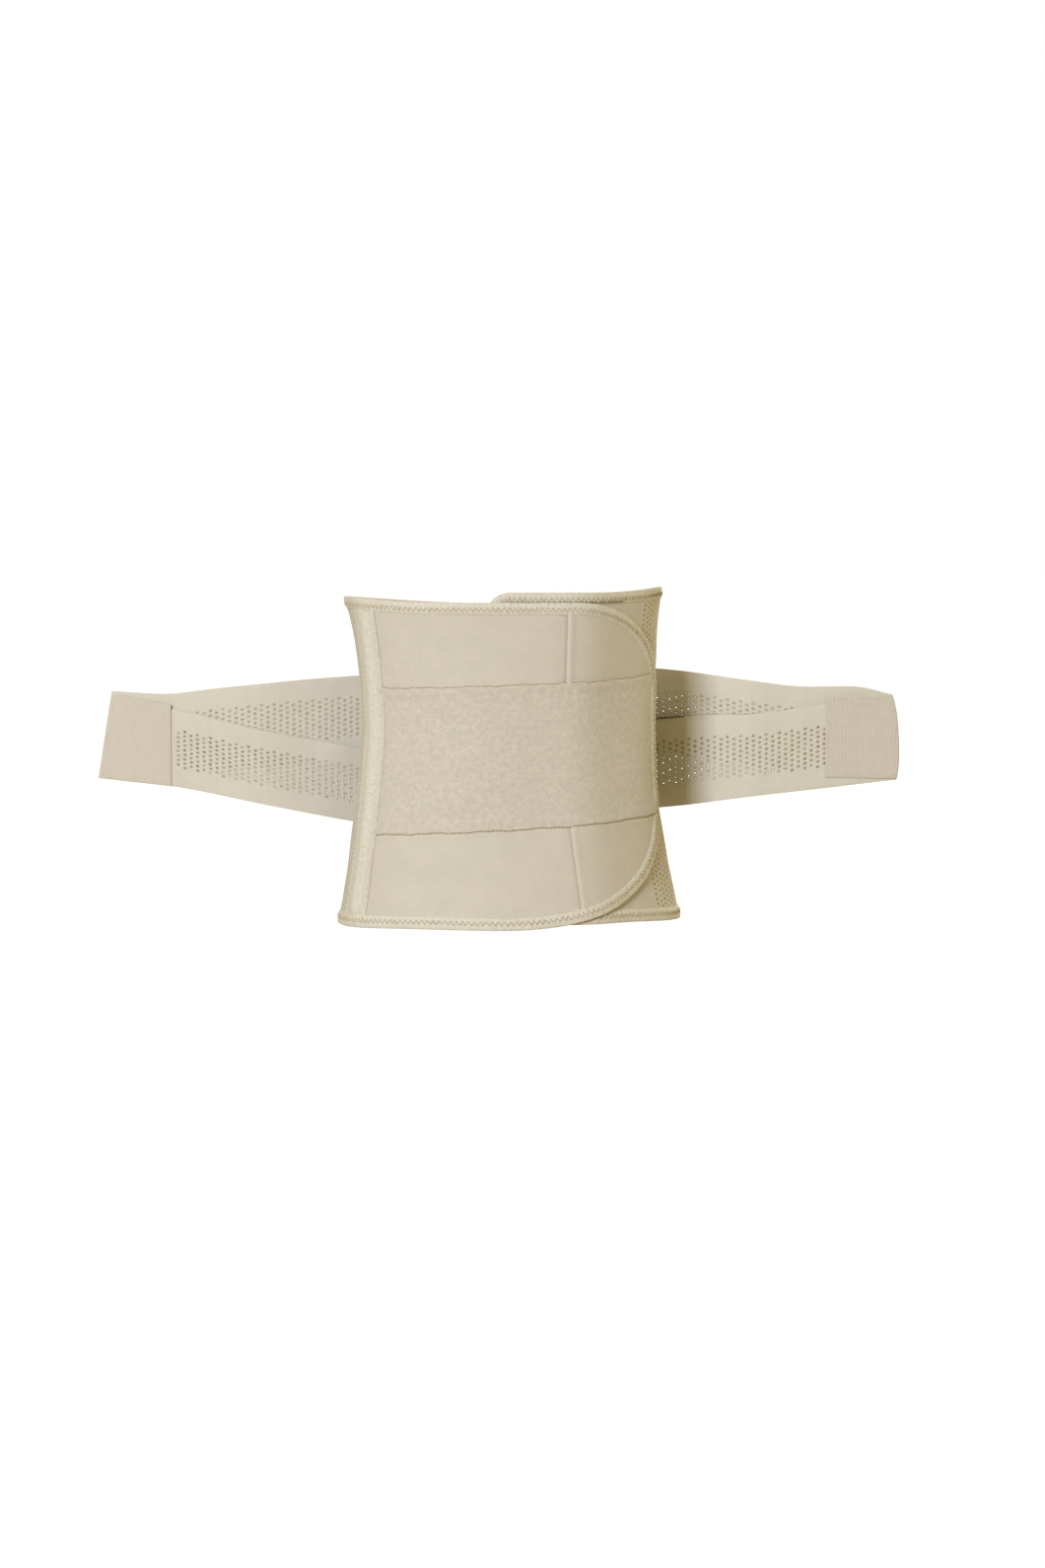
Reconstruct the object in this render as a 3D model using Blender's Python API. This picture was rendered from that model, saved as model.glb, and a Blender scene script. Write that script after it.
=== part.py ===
"""Lumbar support belt, closed round its wearer's waist, with its side straps held out.

Metres, +Z up. The belt stands on its bottom edge at z = 0, and its front faces -Y.
Angles are measured round the waist in degrees: -90 is the front, 0 the right side in a front view,
90 the back and 180 the left side.
"""

import math

import bmesh
import bpy
import numpy as np
from mathutils import Vector

# The waist that the belt is closed round
HEIGHT = 0.280
CENTRE_X = 0.0035
CENTRE_Y = 0.0015
WAIST_Z = 0.165
DEPTH_RATIO = 0.73
LEFT_SHAPE = {"waist": 0.1235, "low": 0.022, "low_power": 1.2, "high": 0.0142, "high_power": 1.8}
RIGHT_SHAPE = {"waist": 0.1255, "low": 0.0225, "low_power": 1.7, "high": 0.0055, "high_power": 1.6}
GRID_DEG = 6
ROW_HEIGHT = 0.030
RIGHT_LIFT_BOTTOM = 0.004
RIGHT_LIFT_TOP = 0.0085
FRONT_SHRINK = 0.028
REAR_DIP = 0.008

# Layers, as distances outwards from the belt's own surface
PANEL_HALF = 0.001
BINDING_HALF = 0.0016
OVERLAP_OUT = 0.0041
GAP = 0.0004
INNER_CASING_OUT = -0.0068
SIDE_CASING_OUT = 0.0006

# Panels, bindings and seams
BINDING_WIDTH = 0.010
UNDERLAP_SEAMS = (0.0765, 0.2015)
# Height at the left end, rise to the right end, and the power that the rise follows
UPPER_SEAM = (0.2035, 0.0118, 0.95)
LOWER_SEAM = (0.0788, 0.0171, 1.3)
LEFT_EDGE = -170.0
RIGHT_EDGE = -12.0
SIDE_GAP_DEG = 5.0
SIDE_INSET_DEG = 4.0
FLAP_SEAM_X = 0.0515
FLAP_CUT = 0.0008
FLAP_END = -15.0
FLAP_TOP = {"reach": 0.095, "drop": 0.080, "power": 1.9}
FLAP_BOTTOM = {"reach": 0.155, "drop": 0.124, "power": 2.2}
UNDERLAP_END = -97.0
UNDERLAP_ROUND = {"reach": 0.018, "drop": 0.018, "power": 2.0}
CORNER_STEPS = 9
TIP_HEIGHT = 0.004
LEAST_STEP_DEG = 0.6
HOOK_PATCH_INSET = 0.016
HOOK_PATCH_MARGIN = 0.006
HOOK_THICK = 0.0006

# Stays and the casings that they slide in
CASING_WIDTH = 0.018
LEFT_CASING_WIDTH = 0.032
RIGHT_CASING_WIDTH = 0.028
CASING_THICK = 0.0008
CASING_ARCH = 0.0014
STAY_WIDTH = 0.008
STAY_THICK = 0.0008
STAY_END = 0.014
BACK_CASINGS = (107.5, 96.0, 84.0, 72.5)
LEFT_CASING_SHIFT = 0.0215
RIGHT_CASING_SHIFT = 0.0155

# Side straps
STRAP_PLANE = 0.0962
STRAP_FORWARD = 0.034
BAND_WIDTH = 0.073
BAND_THICK = 0.0016
BAND_OFFSET = 0.00105
TAB_HEIGHT = 0.1542
ANCHOR_X = 0.059
ANCHOR_WIDTH = 0.016
ANCHOR_THICK = 0.0018
ANCHOR_CLEAR = 0.0006
ANCHOR_REACH = 0.004
BAND_START = 0.069
SWING_X = 0.100
BEND_X = 0.215
HINGE_CUT = 0.003
HOOK_LENGTH = 0.066
TAB_HOOK_THICK = 0.0014
TAB_BACKING_THICK = 0.001
STRAPS = {
    "left": {"sign": -1, "end": 0.3540, "rise": 4.9, "fall": 11.0, "end_lean": 0.006},
    "right": {"sign": 1, "end": 0.3440, "rise": 5.6, "fall": 5.8, "end_lean": 0.002},
}

# Hinge lines that the moving bodies turn about
LEFT_HINGE = (-0.1355, -0.0155)
RIGHT_HINGE = (0.1455, -0.0155)
FLAP_HINGE = (FLAP_SEAM_X, -0.104)

COLOURS = {
    "elastic": ((0.64, 0.57, 0.44), 0.85),
    "loop": ((0.60, 0.53, 0.40), 0.95),
    "binding": ((0.71, 0.66, 0.55), 0.75),
    "mesh": ((0.66, 0.60, 0.49), 0.85),
    "webbing": ((0.68, 0.62, 0.51), 0.80),
    "hook": ((0.58, 0.51, 0.38), 0.90),
    "casing": ((0.69, 0.64, 0.53), 0.80),
}


def clear_scene():
    for obj in list(bpy.data.objects):
        bpy.data.objects.remove(obj, do_unlink=True)


def material(name):
    found = bpy.data.materials.get(name)
    if found:
        return found
    made = bpy.data.materials.new(name)
    made.use_nodes = True
    shader = made.node_tree.nodes["Principled BSDF"]
    if name == "steel":
        colour, rough, metal = (0.62, 0.62, 0.63), 0.35, 1.0
    else:
        (colour, rough), metal = COLOURS[name], 0.0
    shader.inputs["Base Color"].default_value = (*colour, 1.0)
    shader.inputs["Roughness"].default_value = rough
    shader.inputs["Metallic"].default_value = metal
    return made


def sweep(name, sections, finish, pivot=(0.0, 0.0)):
    """One closed solid through sections, each a pair of equally long rows of points: outer and inner."""
    shift = Vector((pivot[0], pivot[1], 0.0))
    bm = bmesh.new()
    rings = []
    for outer, inner in sections:
        loop = list(outer) + list(inner)[::-1]
        rings.append([bm.verts.new(Vector(point) - shift) for point in loop])
    count = len(rings[0])
    for first, second in zip(rings, rings[1:]):
        for k in range(count):
            j = (k + 1) % count
            bm.faces.new((first[k], first[j], second[j], second[k]))
    for ring in (rings[0], rings[-1]):
        for k in range(count // 2 - 1):
            bm.faces.new((ring[k], ring[k + 1], ring[count - 2 - k], ring[count - 1 - k]))
    bmesh.ops.recalc_face_normals(bm, faces=bm.faces)
    mesh = bpy.data.meshes.new(name)
    bm.to_mesh(mesh)
    bm.free()
    mesh.shade_smooth()
    mesh.set_sharp_from_angle(angle=math.radians(35))
    obj = bpy.data.objects.new(name, mesh)
    obj.location = shift
    obj.data.materials.append(material(finish))
    bpy.context.scene.collection.objects.link(obj)
    return obj


def half_width(shape, z):
    if z < WAIST_Z:
        return shape["waist"] + shape["low"] * ((WAIST_Z - z) / WAIST_Z) ** shape["low_power"]
    return shape["waist"] + shape["high"] * ((z - WAIST_Z) / (HEIGHT - WAIST_Z)) ** shape["high_power"]


def ring_point(angle, z, out):
    """A point of the waist at a grid angle, moved outwards."""
    c, s = math.cos(math.radians(angle)), math.sin(math.radians(angle))
    left, right = half_width(LEFT_SHAPE, z), half_width(RIGHT_SHAPE, z)
    wide = right if c > 0 else left
    deep = DEPTH_RATIO * (left + right) / 2
    normal = Vector((c / wide, s / deep, 0.0)).normalized()
    return Vector((CENTRE_X + wide * c, CENTRE_Y + deep * s, z)) + out * normal


def around(angle, z, out):
    """The belt's surface: flat facets between grid angles, so that all layers stay parallel."""
    low = math.floor(angle / GRID_DEG) * GRID_DEG
    share = (angle - low) / GRID_DEG
    return ring_point(low, z, out).lerp(ring_point(low + GRID_DEG, z, out), share)


def smooth(value):
    value = min(max(value, 0.0), 1.0)
    return value * value * (3 - 2 * value)


def level(angle, z):
    """The stretched front is a little less tall than the sides."""
    front = smooth((angle + 168.0) / 55.0) * smooth((-5.0 - angle) / 50.0)
    return z + front * FRONT_SHRINK * (HEIGHT / 2 - z)


def lifted(angle, z):
    """The belt closes a little askew: its right side and the underlap lie higher than the overlap."""
    share = smooth((60.0 - angle) / 60.0)
    lift = share * (RIGHT_LIFT_BOTTOM + (RIGHT_LIFT_TOP - RIGHT_LIFT_BOTTOM) * z / HEIGHT)
    dip = REAR_DIP * max(math.sin(math.radians(angle)), 0.0) ** 2 * z / HEIGHT
    return level(angle, z) + lift - dip


def overlap_out(angle):
    return OVERLAP_OUT * smooth((angle - LEFT_EDGE) / 36.0)


GIRTH_ANGLES = np.arange(-180.0, 181.0, 1.0)
GIRTH_POINTS = np.array([ring_point(a, WAIST_Z, 0.0) for a in GIRTH_ANGLES])
GIRTH = np.concatenate([[0.0], np.cumsum(np.linalg.norm(np.diff(GIRTH_POINTS, axis=0), axis=1))])


def girth_at(angle):
    return float(np.interp(angle, GIRTH_ANGLES, GIRTH))


def angle_at(girth):
    return float(np.interp(girth, GIRTH, GIRTH_ANGLES))


def columns(start, end):
    grid = [a for a in range(-180, 187, GRID_DEG) if start + 0.5 < a < end - 0.5]
    return [start, *grid, end]


def seam(angle, side):
    """Height of the seam above (side 1) or below (side -1) the overlap's loop panel."""
    start, rise, power = UPPER_SEAM if side > 0 else LOWER_SEAM
    return start + rise * min(max((angle + 151.0) / 130.0, 0.0), 1.0) ** power


def seam_edge(side, way):
    """The edge of the cloth just below (way -1) or above (way 1) a seam, as a function of the angle."""
    return lambda angle: seam(angle, side) + way * GAP / 2


def panel(name, angles, low, high, out, lift, finish, half=PANEL_HALF, pivot=(0.0, 0.0)):
    """A sheet of fabric between two heights, which are functions of the angle."""
    tallest = max(high(a) - low(a) for a in angles)
    rows = max(1, round(tallest / ROW_HEIGHT))
    sections = []
    for a in angles:
        heights = [low(a) + (high(a) - low(a)) * k / rows for k in range(rows + 1)]
        heights = [lift(a, z) for z in heights]
        middle = out(a)
        sections.append(
            ([around(a, z, middle + half) for z in heights], [around(a, z, middle - half) for z in heights])
        )
    return sweep(name, sections, finish, pivot)


def corner(round_shape, end, edge, way):
    """A rounded corner in girth and height, from the long edge to the end edge; way is 1 at the top."""
    points = []
    for k in range(CORNER_STEPS + 1):
        t = math.radians(90.0 * k / CORNER_STEPS)
        across = max(math.sin(t), 0.0) ** (2 / round_shape["power"])
        along = max(math.cos(t), 0.0) ** (2 / round_shape["power"])
        points.append(
            (
                end - round_shape["reach"] * (1 - across),
                edge - way * round_shape["drop"] * (1 - along),
            )
        )
    return points


def with_rows(path):
    """The path with points added, so that an upright stretch follows the waist's curve."""
    points = [path[0]]
    for point in path[1:]:
        (g0, z0), (g1, z1) = points[-1], point
        steps = max(1, round(abs(z1 - z0) / ROW_HEIGHT))
        points += [(g0 + (g1 - g0) * k / steps, z0 + (z1 - z0) * k / steps) for k in range(1, steps + 1)]
    return points


def inset(path, width):
    """The same path moved sideways, to the right of its direction of travel, with its ends cut square."""
    points = np.array(path)
    steps = np.gradient(points, axis=0)
    steps /= np.linalg.norm(steps, axis=1)[:, None]
    moved = points + width * np.stack([steps[:, 1], -steps[:, 0]], axis=1)
    moved[[0, -1], 0] = points[[0, -1], 0]
    return moved


def edge_binding(name, path, out, lift, side, pivot):
    """Binding tape over the edge that path follows; side is 1 where the cloth is on its right."""
    inner_path = inset(path, BINDING_WIDTH * side)
    sections = []
    for (g0, z0), (g1, z1) in zip(path, inner_path):
        a0, a1 = angle_at(g0), angle_at(g1)
        middle = out((a0 + a1) / 2)
        place = [(a0, max(z0, 0.0)), (a1, max(z1, 0.0))]
        sections.append(
            (
                [around(a, lift(a, z), middle + BINDING_HALF) for a, z in place],
                [around(a, lift(a, z), middle - BINDING_HALF) for a, z in place],
            )
        )
    return sweep(name, sections, "binding", pivot)


def flat_path(start, end, z):
    return [(girth_at(a), z) for a in columns(start, end)]


def constant(value):
    return lambda angle: value


def make_back():
    start = RIGHT_EDGE + SIDE_GAP_DEG + SIDE_INSET_DEG
    end = 360.0 + LEFT_EDGE - SIDE_GAP_DEG - 1.0
    angles = columns(start, end)
    low, high = BINDING_WIDTH + GAP, HEIGHT - BINDING_WIDTH - GAP
    panel("back_panel", angles, constant(low), constant(high), constant(0.0), lifted, "mesh")
    for name, bottom, top in (
        ("back_bottom_binding", 0.0, BINDING_WIDTH),
        ("back_top_binding", HEIGHT - BINDING_WIDTH, HEIGHT),
    ):
        panel(name, angles, constant(bottom), constant(top), constant(0.0), lifted, "binding", BINDING_HALF)
    for number, angle in enumerate(BACK_CASINGS, 1):
        casing(f"back_stay_casing_{number}", f"back_stay_{number}", angle, CASING_WIDTH, 0.0, lifted)


def casing(name, stay_name, angle, width, out, lift, pivot=(0.0, 0.0)):
    """A tape sewn down along both edges, arched over a flat spring-steel stay, open at its two ends."""
    base = out + BINDING_HALF + GAP
    half = width / 2
    crown = STAY_WIDTH / 2 + 0.0014
    across = (-half, -crown - 0.0016, -crown, crown, crown + 0.0016, half)
    arch = (0.0, 0.0, CASING_ARCH, CASING_ARCH, 0.0, 0.0)
    bottom, top = 0.0016, HEIGHT - 0.0016
    rows = max(1, round((top - bottom) / ROW_HEIGHT))
    sections, stay_sections = [], []
    for k in range(rows + 1):
        z = bottom + (top - bottom) * k / rows
        inner = [offset_point(angle, lift, z, s, base + h) for s, h in zip(across, arch)]
        outer = [offset_point(angle, lift, z, s, base + h + CASING_THICK) for s, h in zip(across, arch)]
        sections.append((outer, inner))
        z = STAY_END + (HEIGHT - 2 * STAY_END) * k / rows
        reach = (-STAY_WIDTH / 2, STAY_WIDTH / 2)
        low = base + (CASING_ARCH - STAY_THICK) / 2
        stay_sections.append(
            (
                [offset_point(angle, lift, z, s, low + STAY_THICK) for s in reach],
                [offset_point(angle, lift, z, s, low) for s in reach],
            )
        )
    sweep(name, sections, "casing", pivot)
    sweep(stay_name, stay_sections, "steel", pivot)


def offset_point(angle, lift, z, sideways, out):
    """A point beside a vertical line of the belt, on the flat that touches it there."""
    z = lift(angle, z)
    here = around(angle, z, 0.0)
    ahead = ring_point(angle + 1.0, z, 0.0) - ring_point(angle - 1.0, z, 0.0)
    ahead.z = 0.0
    ahead.normalize()
    normal = Vector((ahead.y, -ahead.x, 0.0))
    return here + sideways * ahead + out * normal


def flap_paths():
    """The overlap's outline past its vertical seam, top to bottom, and the same line inside its binding."""
    end = girth_at(FLAP_END)
    top = corner(FLAP_TOP, end, HEIGHT, 1)
    bottom = corner(FLAP_BOTTOM, end, 0.0, -1)[::-1]
    hinge = flap_hinge_girth() + FLAP_CUT
    top = [p for p in top if p[0] > hinge + 0.002]
    bottom = [p for p in bottom if p[0] > hinge + 0.002]
    path = with_rows([(hinge, HEIGHT), *top, *bottom, (hinge, 0.0)])
    return path, inset(path, BINDING_WIDTH + GAP)


def flap_hinge_girth():
    wide = half_width(RIGHT_SHAPE, WAIST_Z)
    return girth_at(-math.degrees(math.acos((FLAP_SEAM_X - CENTRE_X) / wide)))


def make_overlap_wing():
    start = LEFT_EDGE + SIDE_GAP_DEG - 1.0
    end = angle_at(flap_hinge_girth() - FLAP_CUT)
    angles = columns(start, end)
    floor, roof = constant(BINDING_WIDTH + GAP), constant(HEIGHT - BINDING_WIDTH - GAP)
    pieces = (
        ("overlap_lower_elastic", floor, seam_edge(-1, -1), "elastic"),
        ("overlap_loop_panel", seam_edge(-1, 1), seam_edge(1, -1), "loop"),
        ("overlap_upper_elastic", seam_edge(1, 1), roof, "elastic"),
    )
    for name, low, high, finish in pieces:
        panel(name, angles, low, high, overlap_out, level, finish, pivot=LEFT_HINGE)
    for name, low, high in (
        ("overlap_bottom_binding", 0.0, BINDING_WIDTH),
        ("overlap_top_binding", HEIGHT - BINDING_WIDTH, HEIGHT),
    ):
        edges = constant(low), constant(high)
        panel(name, angles, *edges, overlap_out, level, "binding", BINDING_HALF, LEFT_HINGE)
    centre = angle_at(girth_at(start) + LEFT_CASING_SHIFT)
    out = overlap_out(centre) + SIDE_CASING_OUT
    casing("left_side_casing", "left_side_stay", centre, LEFT_CASING_WIDTH, out, level, LEFT_HINGE)


def limits_inside(line):
    """Lower and upper height, as functions of the angle, inside an outline that runs round one end."""
    far = int(np.argmax(np.abs(line[:, 0] - line[0, 0])))
    branches = []
    for part in (line[far:], line[: far + 1]):
        part = part[np.argsort(part[:, 0])]
        branches.append(lambda angle, part=part: float(np.interp(girth_at(angle), part[:, 0], part[:, 1])))
    return branches


def fitted_columns(angles, line, low, high):
    """Column angles that include the outline's own points, while the piece is still tall enough."""
    near, far = min(angles), max(angles)
    wanted = sorted(set(angles) | {angle_at(g) for g, _ in line if near < angle_at(g) < far})
    kept = [a for a in wanted if high(a) - low(a) > TIP_HEIGHT]
    spaced = [kept[0]]
    for a in kept[1:-1]:
        if a - spaced[-1] > LEAST_STEP_DEG and kept[-1] - a > LEAST_STEP_DEG:
            spaced.append(a)
    return [*spaced, kept[-1]]


def make_flap():
    path, inner = flap_paths()
    edge_binding("flap_edge_binding", path, overlap_out, level, 1, FLAP_HINGE)
    hinge = path[0][0]
    floor, roof = limits_inside(inner)
    last = angle_at(float(inner[:, 0].max()) - GAP)
    middle = columns(angle_at(hinge), last)
    panel(
        "flap_loop_panel",
        middle,
        lambda a: max(seam(a, -1), floor(a)) + GAP / 2,
        lambda a: min(seam(a, 1), roof(a)) - GAP / 2,
        overlap_out,
        level,
        "loop",
        pivot=FLAP_HINGE,
    )
    for name, low, high in (
        ("flap_upper_corner", seam_edge(1, 1), roof),
        ("flap_lower_corner", floor, seam_edge(-1, -1)),
    ):
        angles = fitted_columns(middle, inner, low, high)
        panel(name, angles, low, high, overlap_out, level, "elastic", pivot=FLAP_HINGE)
    patch_start = angle_at(hinge + HOOK_PATCH_INSET)
    patch_end = angle_at(float(inner[:, 0].max()) - HOOK_PATCH_INSET)
    patch_out = OVERLAP_OUT - PANEL_HALF - GAP - HOOK_THICK / 2
    panel(
        "flap_hook_patch",
        columns(patch_start, patch_end),
        lambda a: seam(a, -1) + HOOK_PATCH_MARGIN,
        lambda a: seam(a, 1) - HOOK_PATCH_MARGIN,
        constant(patch_out),
        level,
        "hook",
        HOOK_THICK / 2,
        FLAP_HINGE,
    )


def make_underlap_wing():
    end = RIGHT_EDGE - SIDE_GAP_DEG + 1.0
    edge = girth_at(UNDERLAP_END)
    outline = flat_path(UNDERLAP_END, end, 0.0)
    reach = UNDERLAP_ROUND["reach"]
    straight = [p for p in outline if p[0] > edge + reach + 0.004][::-1]
    top = [(2 * edge - g, z) for g, z in corner(UNDERLAP_ROUND, edge, HEIGHT, 1)]
    bottom = [(2 * edge - g, z) for g, z in corner(UNDERLAP_ROUND, edge, 0.0, -1)][::-1]
    path = with_rows([(g, HEIGHT) for g, _ in straight] + top + bottom + straight[::-1])
    edge_binding("underlap_edge_binding", path, constant(0.0), lifted, -1, RIGHT_HINGE)
    inner = inset(path, -BINDING_WIDTH - GAP)
    floor, roof = limits_inside(inner)
    middle = columns(angle_at(edge + BINDING_WIDTH + 2 * GAP), end)
    seams = (BINDING_WIDTH + GAP, *UNDERLAP_SEAMS, HEIGHT - BINDING_WIDTH - GAP)
    names = ("underlap_lower_elastic", "underlap_loop_panel", "underlap_upper_elastic")
    for name, finish, bottom, top in zip(names, ("elastic", "loop", "elastic"), seams, seams[1:]):

        def low(angle, bottom=bottom):
            return max(bottom + GAP / 2, floor(angle))

        def high(angle, top=top):
            return min(top - GAP / 2, roof(angle))

        angles = fitted_columns(middle, inner, low, high)
        panel(name, angles, low, high, constant(0.0), lifted, finish, pivot=RIGHT_HINGE)
    centre = angle_at(girth_at(end) - RIGHT_CASING_SHIFT)
    # The casing lies on the underlap's inner face, clear of the flap that closes over it
    width = RIGHT_CASING_WIDTH
    casing("right_side_casing", "right_side_stay", centre, width, INNER_CASING_OUT, lifted, RIGHT_HINGE)


def strap_height(strap, band, distance):
    """Middle height of a band at a distance from the belt's middle plane."""
    run = strap["end"] - distance
    slope = math.tan(math.radians(strap["rise"] if band == "upper" else -strap["fall"]))
    return TAB_HEIGHT + slope * run


def strap_depth(distance):
    """How far behind the belt's middle the strap's own middle lies: it comes forwards between its hinges."""
    share = (distance - SWING_X) / (BEND_X - SWING_X)
    return STRAP_PLANE - STRAP_FORWARD * min(max(share, 0.0), 1.0)


def band_plate(name, side, band, start, end, near, far, finish, pivot_x, lean):
    """A flat length of band from start to end, from near to far behind the strap's own middle."""
    strap = STRAPS[side]
    angle = math.radians(strap["rise"] if band == "upper" else strap["fall"])
    half = BAND_WIDTH / 2 / math.cos(angle)
    sections = []
    for distance, tilt in ((start, 0.0), (end, lean)):
        outer, inner = [], []
        y = CENTRE_Y + strap_depth(distance)
        for edge in (-1, 1):
            x = CENTRE_X + strap["sign"] * (distance - edge * tilt)
            z = strap_height(strap, band, distance - edge * tilt) + edge * half
            outer.append((x, y + far, z))
            inner.append((x, y + near, z))
        sections.append((outer, inner))
    pivot = (0.0, 0.0)
    if pivot_x:
        pivot = (CENTRE_X + strap["sign"] * pivot_x, CENTRE_Y + strap_depth(pivot_x))
    return sweep(name, sections, finish, pivot)


def make_strap(side):
    strap = STRAPS[side]
    anchor_angle = 90.0 - strap["sign"] * math.degrees(math.asin(ANCHOR_X / half_width(RIGHT_SHAPE, WAIST_Z)))
    low = strap_height(strap, "lower", ANCHOR_X) - BAND_WIDTH / 2 - ANCHOR_REACH
    high = strap_height(strap, "upper", ANCHOR_X) + BAND_WIDTH / 2 + ANCHOR_REACH
    sections = []
    rows = round((high - low) / ROW_HEIGHT)
    for k in range(rows + 1):
        z = low + (high - low) * k / rows
        base = PANEL_HALF + GAP + ANCHOR_CLEAR
        reach = (-ANCHOR_WIDTH / 2, ANCHOR_WIDTH / 2)
        sections.append(
            (
                [offset_point(anchor_angle, level, z, s, base + ANCHOR_THICK) for s in reach],
                [offset_point(anchor_angle, level, z, s, base) for s in reach],
            )
        )
    sweep(f"{side}_strap_anchor", sections, "casing")
    for band, middle in (("lower", -BAND_OFFSET), ("upper", BAND_OFFSET)):
        near, far = middle - BAND_THICK / 2, middle + BAND_THICK / 2
        lengths = (
            ("root", BAND_START, SWING_X - HINGE_CUT, 0.0, 0.0),
            ("inner", SWING_X + HINGE_CUT, BEND_X - HINGE_CUT, SWING_X, 0.0),
            ("outer", BEND_X + HINGE_CUT, strap["end"] - 0.001, BEND_X, strap["end_lean"]),
        )
        for part, start, end, pivot_x, lean in lengths:
            name = f"{side}_{band}_band_{part}"
            band_plate(name, side, band, start, end, near, far, "webbing", pivot_x, lean)
    start = strap["end"] - HOOK_LENGTH
    front = -BAND_OFFSET - BAND_THICK / 2 - GAP
    rear = -front
    lean = strap["end_lean"]
    for name, band, near, far, finish in (
        ("hook_patch", "lower", front - TAB_HOOK_THICK, front, "hook"),
        ("tab_backing", "upper", rear, rear + TAB_BACKING_THICK, "casing"),
    ):
        band_plate(f"{side}_{name}", side, band, start, strap["end"], near, far, finish, BEND_X, lean)


def main():
    clear_scene()
    make_back()
    make_overlap_wing()
    make_flap()
    make_underlap_wing()
    for side in STRAPS:
        make_strap(side)


main()
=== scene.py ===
"""Looks of the lumbar support belt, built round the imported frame.

Metres, +Z up, the belt's front towards -Y. Cloth places are given as a girth, the distance round the
waist measured at waist height, and a height z. Angles are in degrees: -90 is the front, 90 the back.
"""

import collections
import math

import bpy
import numpy as np
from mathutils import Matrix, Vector


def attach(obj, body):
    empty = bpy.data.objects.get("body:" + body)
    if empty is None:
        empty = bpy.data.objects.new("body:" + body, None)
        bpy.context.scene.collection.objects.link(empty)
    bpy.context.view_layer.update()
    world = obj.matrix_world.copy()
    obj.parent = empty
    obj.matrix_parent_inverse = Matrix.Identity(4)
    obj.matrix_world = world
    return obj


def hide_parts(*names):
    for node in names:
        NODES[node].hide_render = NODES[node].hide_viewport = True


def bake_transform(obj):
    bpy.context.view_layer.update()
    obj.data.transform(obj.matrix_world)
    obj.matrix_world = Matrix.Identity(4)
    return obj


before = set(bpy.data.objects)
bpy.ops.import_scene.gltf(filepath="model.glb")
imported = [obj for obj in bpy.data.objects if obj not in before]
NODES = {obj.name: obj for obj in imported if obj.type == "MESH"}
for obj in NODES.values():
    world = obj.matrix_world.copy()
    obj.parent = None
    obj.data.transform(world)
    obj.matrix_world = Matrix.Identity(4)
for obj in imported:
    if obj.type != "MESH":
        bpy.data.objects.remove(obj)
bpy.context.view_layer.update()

# ---- the waist's form, as in the CAD model ----
HEIGHT = 0.28
CENTRE = (0.0035, 0.0015)
WAIST_Z = 0.165
DEPTH_RATIO = 0.73
LEFT_SHAPE = {"waist": 0.1235, "low": 0.022, "low_power": 1.2, "high": 0.0142, "high_power": 1.8}
RIGHT_SHAPE = {"waist": 0.1255, "low": 0.0225, "low_power": 1.7, "high": 0.0055, "high_power": 1.6}
RIGHT_LIFT = (0.004, 0.0085)
FRONT_SHRINK, REAR_DIP = 0.028, 0.008
FLARE, FLARE_HEIGHT = 0.0008, 0.02
OVERLAP_OUT = 0.0041
LEFT_EDGE = -170.0
LEFT_SEAM = -152.0
RIGHT_SEAM = -28.0
BACK_LEFT, BACK_RIGHT = 150.0, 30.0
LEFT_SIDE_START = BACK_LEFT - 360.0
FLAP_SEAM_X = 0.0515
FLAP_END = -15.0
FLAP_TOP = {"reach": 0.095, "drop": 0.08, "power": 1.9}
FLAP_BOTTOM = {"reach": 0.155, "drop": 0.124, "power": 2.2}
UNDERLAP_END = -97.0
UNDERLAP_ROUND = {"reach": 0.018, "drop": 0.018, "power": 2.0}
UPPER_SEAM = (0.2035, 0.0118, 0.95)
LOWER_SEAM = (0.0788, 0.0171, 1.3)
UNDERLAP_SEAMS = (0.0765, 0.2015)
BINDING_WIDTH, BINDING_HALF = 0.0105, 0.0012
SEAM_LAP, HOOK_INSET = 0.0045, 0.016
# A side's casing: an angle, the girth from there to its middle, and its width
LEFT_CASING = (LEFT_EDGE + 4.0, 0.0215, 0.034)
RIGHT_CASING = (-16.0, -0.0155, 0.028)
BACK_CASINGS, BACK_CASING_WIDTH = (107.5, 96.0, 84.0, 72.5), 0.018
STRAPS = {
    "left": {"sign": -1, "end": 0.354, "lean": 0.006, "bulge": 0.0},
    "right": {"sign": 1, "end": 0.344, "lean": 0.002, "bulge": 0.0037},
}
STRAP_PLANE, STRAP_FORWARD, TAB_HEIGHT = 0.0962, 0.034, 0.1542
BAND_WIDTH, BAND_OFFSET = 0.073, 0.00105
ANCHOR_X, ANCHOR_WIDTH, BAND_SPLIT = 0.059, 0.018, 0.157
PATCH_LENGTH = {"left": 0.0585, "right": 0.0645}

# ---- fabric thicknesses and steps ----
PANEL_HALF, MESH_HALF, WEBBING_HALF = 0.0009, 0.0008, 0.00072
LOOP_HALF, UNDERLAP_HALF, THIN_LOOP_HALF = 0.00075, 0.00075, 0.0006
CASING_HALF, TAB_HALF, HOOK_HALF, PATCH_HALF, STEEL_HALF = 0.00038, 0.0005, 0.00045, 0.0004, 0.0004
STEP = 0.003
HOLE_PITCH, HOLE_RIM = (0.0056, 0.0042), (0.00114, 0.00096)
NARROW_HOLE, WIDE_HOLE = 0.28, 0.4
HOLES_HALF, HOLE_DRIFT = 0.0185, 0.00028
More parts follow.
